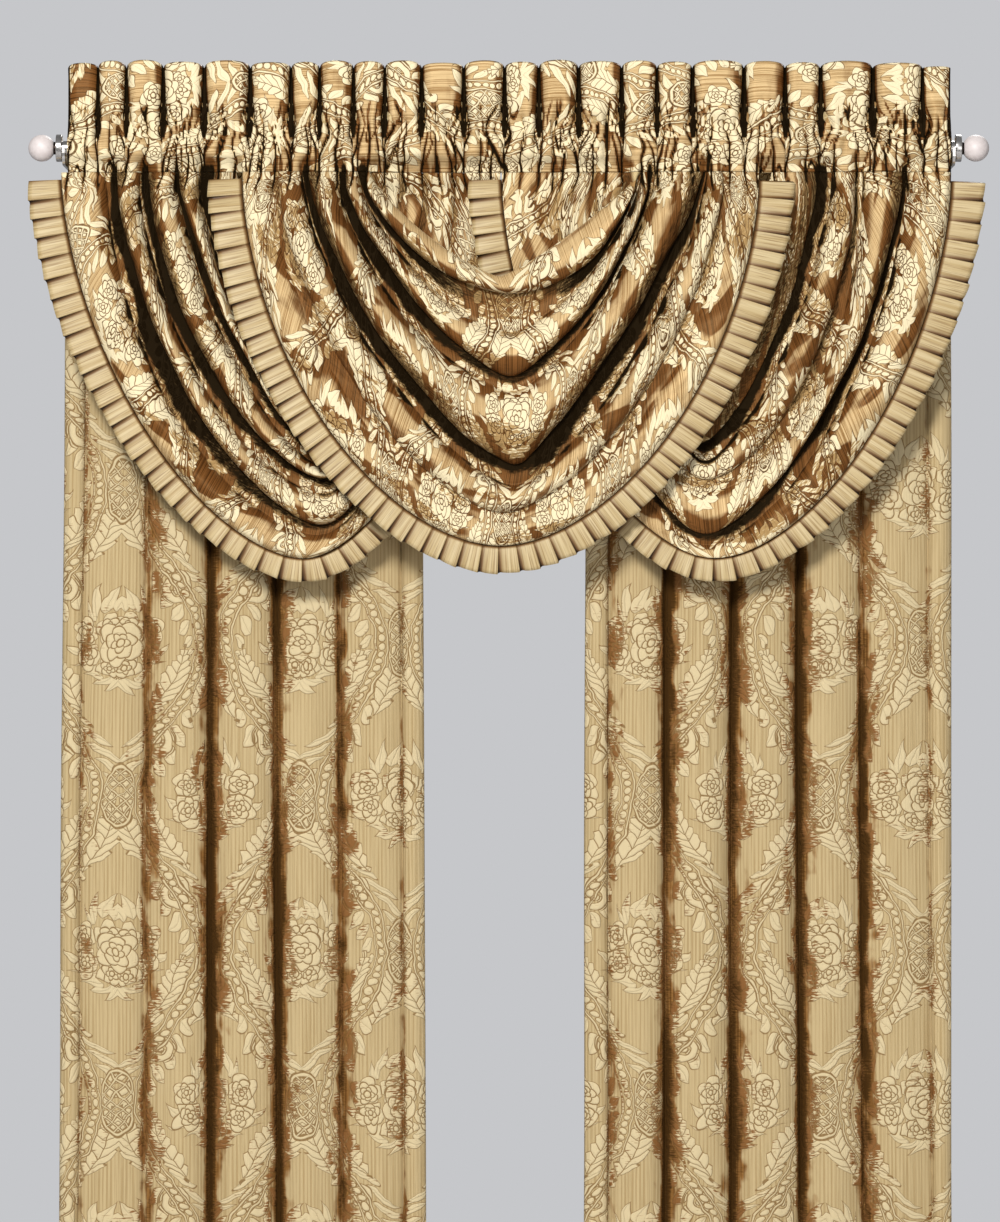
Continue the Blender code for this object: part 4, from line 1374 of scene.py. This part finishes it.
# One row for each valley between a panel's folds: where it lies at the back rod and at
# the hem, and how much of the fold depth it takes.
LEFT_VALLEYS = [
    (-764, -778, 0.35), (-732, -748, 0.45), (-630, -640, 0.6), (-522, -526, 1.0), (-409, -404, 0.95),
    (-300, -291, 0.68), (-192, -181, 0.5), (-152, -145, 0.3),
]
RIGHT_VALLEYS = [
    (139, 132, 0.3), (178, 173, 0.5), (278, 271, 0.9), (390, 387, 1.0), (502, 509, 1.0),
    (612, 621, 0.7), (724, 739, 0.45), (764, 766, 0.35),
]
LOOP_Z = 1.3                 # height of the middle of the loop that holds the back rod
LOOP_REACH = 11.3            # radius of that loop
LOOP_FOOT_Z = -42.0          # where the loop ends and the panel starts to hang


@dataclass
class Panel:
    """A long side panel that hangs in soft folds from the back rod.

    Attributes:
        name: left or right.
        valleys: The table of its valleys.
        fold_depth: Half the depth of a fold.
        hem_z: Height of the hem.
        fold_points: Points across one fold.
        rows: Points down from the pocket to the hem.
        open_drop: The drop within which its folds open to their whole depth.
        lay: Where across it the figured repeat starts.
        outer_x: How far from the middle its outer edge starts to hang aslant.
        outer_lean: How far that edge leans out.
    """

    name: str
    valleys: list
    fold_depth: float = 21.0
    hem_z: float = -1985.0
    fold_points: int = 34
    rows: int = 120
    open_drop: float = 150.0
    lay: float = 70.0
    outer_x: float = 700.0
    outer_lean: float = 9.0

    def columns(self) -> tuple[np.ndarray, np.ndarray, np.ndarray, np.ndarray]:
        """Spread columns between the valleys.

        Returns:
            For each column its x at the rod and at the hem, how much of the fold depth
            it takes, and its share of the way across its fold.
        """
        even = np.linspace(0.0, 1.0, self.fold_points)[:-1]
        top_x, hem_x, deep = [np.append(mix(values[:-1, None], values[1:, None], even).ravel(), values[-1])
                              for values in np.array(self.valleys).T]
        return top_x, hem_x, deep, np.append(np.tile(even, len(self.valleys) - 1), 1.0)

    def loop(self, x: np.ndarray, gather: np.ndarray) -> np.ndarray:
        """Lead the cloth from behind the back rod over it.

        Args:
            x: The columns' places.
            gather: How far the folds stand out in front of the rod.

        Returns:
            The loop's points, rows by columns by (x, y, z).
        """
        slant = LOOP_REACH * math.sin(math.radians(45))
        # y from the rod's axis, share of the gathers and z of each row
        rows = [(-1.0, 0, LOOP_FOOT_Z), (LOOP_REACH, 0, -6.0), (LOOP_REACH, 0, LOOP_Z),
                (slant, 0, LOOP_Z + slant), (0.0, 0, LOOP_Z + LOOP_REACH), (-slant, 1, LOOP_Z + slant),
                (-LOOP_REACH, 1, LOOP_Z), (-LOOP_REACH, 1, -6.0)]
        return np.stack([np.stack(np.broadcast_arrays(x, BACK_ROD_AXIS_Y + y - share * gather, z), axis=1)
                         for y, share, z in rows])

    def shade(self, deep: np.ndarray, fold: np.ndarray, points: np.ndarray) -> np.ndarray:
        """Say how deep between its folds each point lies.

        Args:
            deep: How much of the fold depth each column takes, which also scales its painted shade.
            fold: Each column's share of the way across its fold.
            points: The panel's points.

        Returns:
            How much painted shade each point gets: 1 in a valley to 0 on a crest.
        """
        place = (points[..., 0] + PANEL_READ[0], points[..., 2] + PANEL_READ[1])
        # painted shade: the hollow's dark starts sharply beside the fold on its left and fades to the right
        narrow = np.exp(-(fold / 0.2) ** 1.6) + np.exp(-((1.0 - fold) / 0.08) ** 1.8)
        skirt = 0.57 * bell(fold, 0.3) + 0.52 * bell(1.0 - fold, 0.23)
        patch = Relief(73, 90.0, 210.0).at(*place)
        narrow = np.maximum(1.12 * narrow, skirt * ease((patch + 0.35) / 0.5))
        dark = np.clip(narrow, 0.0, 1.0) * ease((deep - 0.2) / 0.7)
        # the painted shade is uneven in strength and ragged at its edges
        clouding_and_shade = Relief(57, 130.0, 330.0).at(*place)
        ragged = Relief(59, 7.0, 26.0).at(*place)
        varied = dark * (0.82 + 0.28 * clouding_and_shade) + 0.22 * ragged * ease(dark / 0.3) * ease((1.0 - dark) / 0.3)
        return np.clip(varied, 0.0, 1.0) * ease((-points[..., 2] - 10.0) / 120.0)

    def cloth(self) -> Cloth:
        """Return the panel's cloth, from behind the rod over it and down to the hem."""
        top_x, hem_x, deep, fold = self.columns()
        crest = np.sin(math.pi * fold) ** 0.42
        gather = 3.0 * crest * deep
        share = (np.linspace(0.0, 1.0, self.rows) ** 0.93)[:, None]
        z = mix(LOOP_FOOT_Z, self.hem_z, share)
        x = mix(top_x, hem_x, share)
        place = (x + PANEL_READ[0], z + PANEL_READ[1])
        grown = ease((LOOP_FOOT_Z - z) / self.open_drop)
        ripple = 2.0 * Relief(43, 42.0, 420.0).at(*place)
        fine = 0.7 * Relief(47, 18.0, 150.0).at(*place)
        full = BACK_ROD_AXIS_Y - self.fold_depth * (2.0 * crest - 1.0) * deep - ripple - fine
        y = mix(BACK_ROD_AXIS_Y - 5.0 - gather, full, grown)
        sway = 3.0 * Relief(41, 160.0, 620.0).at(*place) * grown
        outer = np.clip((np.abs(x) - self.outer_x) / 64.0, 0.0, 1.0) * ease((-60.0 - z) / 260.0)
        x = x + sway + self.outer_lean * np.sign(x) * outer
        points = np.concatenate((self.loop(top_x, gather), np.stack(np.broadcast_arrays(x, y, z), axis=2)))
        middle = self.rows // 2
        unfolded = running(np.hypot(np.diff(x[middle]), np.diff(y[middle])))
        unfolded -= unfolded[-1] / 2.0
        drop = row_steps(points).mean(axis=1).cumsum()
        lengths = np.stack(np.broadcast_arrays(unfolded + self.lay, drop[:, None]), axis=2)
        hollow = self.shade(deep, fold, points)
        return Cloth(f"panel_{self.name}_cloth", points, lengths, hollow, JACQUARD_THICK)

    def make(self, sides: tuple[Material, Material]) -> None:
        """Build the panel of a jacquard with these two sides."""
        self.cloth().hang(sides, f"panel_{self.name}", Slot.PANEL, Held.HUNG, "rod_back")


# ---- rods and finials ----


class Side(Enum):
    """The two ends of the front rod."""

    LEFT = "left"
    RIGHT = "right"


def pick_faces(item: bpy.types.Object, wanted: Callable[[bpy.types.MeshPolygon], bool]) -> None:
    """Select a mesh's faces and go into edit mode.

    Args:
        item: The object, active and in object mode.
        wanted: Says of a face whether it is selected.
    """
    for part in (*item.data.vertices, *item.data.edges):
        part.select = False
    for face in item.data.polygons:
        face.select = wanted(face)
    bpy.ops.object.mode_set(mode="EDIT")
    bpy.ops.mesh.select_mode(type="FACE")


@dataclass(frozen=True)
class Finial:
    """A turned collar with a thin neck, and the etched ball beyond it.

    Attributes:
        collar_radius: Radius of the collar.
        collar_width: Width of its rim.
        rounding: Radius of the rim's edges.
        lip: Width of the flat rim round the collar's dished face.
        dish: Depth of that dish.
        dish_wall: How far the dish's wall leans in.
        neck_radius: Radius of the neck.
        neck_length: How far the neck stands out of the rim.
        ball_radius: Radius of the ball.
        ball_x: The ball's middle.
        seat: Where the ball is cut flat to sit on the neck.
        cut_rim: Width of the ring round that cut.
        sides: Number of sides of the round pieces.
        smooth: Edges that turn by less than this are shaded smooth, in degrees.
    """

    collar_radius: float = 23.7
    collar_width: float = 10.5
    rounding: float = 1.3
    lip: float = 3.6
    dish: float = 1.8
    dish_wall: float = 0.8
    neck_radius: float = 11.0
    neck_length: float = 4.8
    ball_radius: float = 23.2
    ball_x: float = 809.6
    seat: float = 788.9
    cut_rim: float = 0.8
    sides: int = 64
    smooth: float = 35.0

    def start(self, name: str, *materials: Material) -> bpy.types.Object:
        """Name the round piece just added, apply its turn and give it its materials."""
        item = bpy.context.object
        item.name = name
        bpy.ops.object.transform_apply(location=True, rotation=True, scale=True)
        for material in materials:
            item.data.materials.append(material)
        return item

    def collar(self, metal: Material, dark: Material) -> bpy.types.Object:
        """Turn the right collar: a rounded rim, a dished face and the neck.

        Args:
            metal: The collar's material.
            dark: The neck's material, nearly black as painted shade and dark reflection.

        Returns:
            The collar.
        """
        middle = (ROD_END_X + self.collar_width / 2.0) * MM
        bpy.ops.object.select_all(action="DESELECT")
        bpy.ops.mesh.primitive_cylinder_add(
            vertices=self.sides, radius=self.collar_radius * MM, depth=self.collar_width * MM,
            location=(middle, ROD_AXIS_Y * MM, 0.0), rotation=(0.0, math.pi / 2, 0.0))
        item = self.start("finial_right_collar", metal, dark)
        pick_faces(item, lambda face: abs(face.normal.x) > 0.9)
        bpy.ops.mesh.bevel(offset=self.rounding * MM, segments=4, affect="EDGES")
        bpy.ops.object.mode_set(mode="OBJECT")
        pick_faces(item, lambda face: face.normal.x > 0.99 and len(face.vertices) > 4)
        floor_width = self.collar_radius - self.lip - self.dish_wall - self.neck_radius
        bpy.ops.mesh.inset(thickness=(self.lip - self.rounding) * MM)
        bpy.ops.mesh.inset(thickness=self.dish_wall * MM, depth=-self.dish * MM)
        bpy.ops.mesh.inset(thickness=floor_width * MM)
        for step in (self.dish, self.neck_length):
            bpy.ops.mesh.extrude_region_move(TRANSFORM_OT_translate={"value": (step * MM, 0.0, 0.0)})
        bpy.ops.object.mode_set(mode="OBJECT")
        # the neck's faces take the material painted nearly black as shade and dark reflection
        for face in item.data.polygons:
            reach = math.hypot(face.center.y - ROD_AXIS_Y * MM, face.center.z) / MM
            face.material_index = int(face.center.x > middle and reach < self.neck_radius + 0.5)
        bpy.ops.object.shade_smooth_by_angle(angle=math.radians(self.smooth))
        return item

    def ball(self, glass: Material) -> bpy.types.Object:
        """Cut the right ball flat where it sits on its neck.

        Args:
            glass: The ball's material.

        Returns:
            The ball.
        """
        bpy.ops.object.select_all(action="DESELECT")
        bpy.ops.mesh.primitive_uv_sphere_add(
            segments=self.sides, ring_count=self.sides // 2, radius=self.ball_radius * MM,
            location=(self.ball_x * MM, ROD_AXIS_Y * MM, 0.0), rotation=(0.0, math.pi / 2, 0.0))
        item = self.start("finial_right_ball", glass)
        bpy.ops.object.mode_set(mode="EDIT")
        bpy.ops.mesh.select_all(action="SELECT")
        bpy.ops.mesh.bisect(plane_co=(self.seat * MM, 0.0, 0.0), plane_no=(1.0, 0.0, 0.0), use_fill=True,
                            clear_inner=True)
        bpy.ops.mesh.inset(thickness=self.cut_rim * MM)
        bpy.ops.object.mode_set(mode="OBJECT")
        bpy.ops.object.shade_smooth_by_angle(angle=math.radians(self.smooth))
        return item

    def declare(self, item: bpy.types.Object, side: Side) -> None:
        """Attach a piece to the root, hide the CAD part it stands for and log its faces.

        Args:
            item: The piece.
            side: The end of the rod it is on.
        """
        kind = item.name.rsplit("_", 1)[1]
        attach(item, "root")
        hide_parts(f"finial_{kind}_{side.value}")
        LOG.info("%s: %d faces", item.name, len(item.data.polygons))

    def make(self, metal: Material) -> None:
        """Build both finials, the left one as a mirrored copy.

        Args:
            metal: The nickel of the rods and collars.
        """
        for item, slot in ((self.collar(metal, NICKEL_NECK_PAINTED_SHADE.material()), Slot.METAL),
                           (self.ball(GLASS.material()), Slot.GLASS)):
            copied = item.copy()
            copied.data = item.data.copy()
            copied.name = item.name.replace("right", "left")
            copied.data.transform(Matrix.Diagonal((-1.0, 1.0, 1.0, 1.0)))
            copied.data.flip_normals()
            bpy.context.scene.collection.objects.link(copied)
            self.declare(item, Side.RIGHT)
            self.declare(copied, Side.LEFT)


def plate_hardware(metal: Material) -> None:
    """Give the rods and brackets of the frame their nickel.

    Args:
        metal: The nickel.
    """
    for name in ("rod_front", "rod_back", "bracket_left", "bracket_right"):
        for slot in bpy.data.objects[name].material_slots:
            slot.material = metal
        LOG.info("%s: plated", name)


# ---- studio ----


@dataclass(frozen=True)
class Lamp:
    """A square area light, in metres.

    Attributes:
        name: Its name.
        place: Where it stands.
        size: The length of its side.
        power: How strong it is, in watts.
        aim: What it shines at.
    """

    name: str
    place: tuple[float, float, float]
    size: float
    power: float
    aim: tuple[float, float, float] = (0.0, 0.0, -0.9)

    def make(self) -> None:
        """Add the light."""
        bpy.ops.object.light_add(type="AREA", location=self.place)
        item = bpy.context.object
        item.name = self.name
        item.data.size = self.size
        item.data.energy = self.power
        x, y, z = np.array(self.aim) - np.array(self.place)
        tilt = math.acos(-z / np.linalg.norm((x, y, z)))
        item.rotation_euler = (tilt, 0.0, math.atan2(y, x) - math.pi / 2)


LAMPS = [
    Lamp("key_light", (-1.7, -7.7, 2.9), 1.7, 760.0, aim=(0.0, 0.0, -0.7)),
    Lamp("front_light", (2.2, -7.6, -0.6), 3.0, 90.0),
    Lamp("back_light", (1.8, 5.6, 4.4), 3.0, 300.0),
]


@dataclass(frozen=True)
class Studio:
    """Plain pale surroundings, soft light and the camera.

    Attributes:
        backdrop: Colour of the surroundings.
        paper: Colour of the paper on the floor.
        camera_place: Where the camera stands, in metres; it looks along +Y.
        focal_length: The camera's focal length, in mm.
        floor_y: The floor's middle.
        floor_z: Height of the floor, just under the panels' hems.
        floor_size: Length of the floor's side.
        fill: How strongly the surroundings light the cloth.
    """

    backdrop: str = "#C6C7CA"
    paper: str = "#D8D8DA"
    camera_place: tuple[float, float, float] = (-0.0152, -10.14, -0.8024)
    focal_length: float = 170.0
    floor_y: float = -1400.0
    floor_z: float = -1990.0
    floor_size: float = 4400.0
    fill: float = 0.42

    def make(self) -> None:
        """Add the camera, the surroundings, the lights and the floor."""
        scene = bpy.context.scene
        scene.view_settings.view_transform = "Standard"
        bpy.ops.object.select_all(action="DESELECT")
        bpy.ops.object.camera_add(location=self.camera_place, rotation=(math.pi / 2, 0.0, 0.0))
        scene.camera = bpy.context.object
        scene.camera.data.lens = self.focal_length
        scene.camera.data.clip_end = 60.0
        world = scene.world or bpy.data.worlds.new("studio")
        scene.world = world
        world.use_nodes = True
        # the surroundings look bright and light the cloth only a little
        seen = add_node(world.node_tree, Node.LIGHT_PATH)
        strength = add_node(world.node_tree, Node.STRAIGHT, seen, 0.0, 1.0, self.fill, 1.0)
        plug(world.node_tree.nodes["Background"], {"Color": linear(self.backdrop), "Strength": strength})
        for lamp in LAMPS:
            lamp.make()
        bpy.ops.mesh.primitive_grid_add(x_subdivisions=8, y_subdivisions=8, size=self.floor_size * MM,
                                        location=(0.0, self.floor_y * MM, self.floor_z * MM))
        floor = bpy.context.object
        floor.name = "floor"
        # uncoated paper roll, matt
        paper, shader, _ = start_material("backdrop paper, matt")
        plug(shader, {"Base Color": linear(self.paper), "Roughness": 0.9})
        floor.data.materials.append(paper)


# ---- assembly ----

SWAGS = [
    Swag("left", LEFT_EDGES, back_y=-128.5, out_left=0, out_right=-16, out_drop=36, pleats=50, trim_side=58,
         trim_low=40, lay=60.0, dents=[]),
    Swag("right", RIGHT_EDGES, back_y=-135.5, out_left=0, out_right=0, out_drop=45, pleats=50, trim_side=58,
         trim_low=40, lay=180.0, dents=[]),
    Swag("centre", CENTRE_EDGES, back_y=-140.0, out_left=29, out_right=29, out_drop=75, pleats=56,
         trim_side=60, trim_low=47, lay=222.0,
         dents=[(-315, -350, 14, 70, 1.0), (300, -330, 12, 60, 0.7)]),
]


def main() -> None:
    """Build the drape piece by piece."""
    logging.basicConfig(level=logging.INFO, format="%(message)s")
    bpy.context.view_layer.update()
    Studio().make()
    jacquard = (SWAG_CLOTH.material(), SWAG_REVERSE.material())
    ribbed = TRIM_CLOTH.material()
    cloths = [swag.cloth() for swag in SWAGS]
    Heading().cloth(cloths).hang(jacquard, "heading", Slot.SWAG, Held.GATHERED, "rod_front")
    for swag, cloth in zip(SWAGS, cloths):
        swag.make(cloth, jacquard, ribbed)
    matt_jacquard = (PANEL_CLOTH.material(), PANEL_REVERSE.material())
    for panel in (Panel("left", LEFT_VALLEYS), Panel("right", RIGHT_VALLEYS)):
        panel.make(matt_jacquard)
    nickel = NICKEL.material()
    Finial().make(nickel)
    plate_hardware(nickel)


if __name__ == "__main__":
    main()
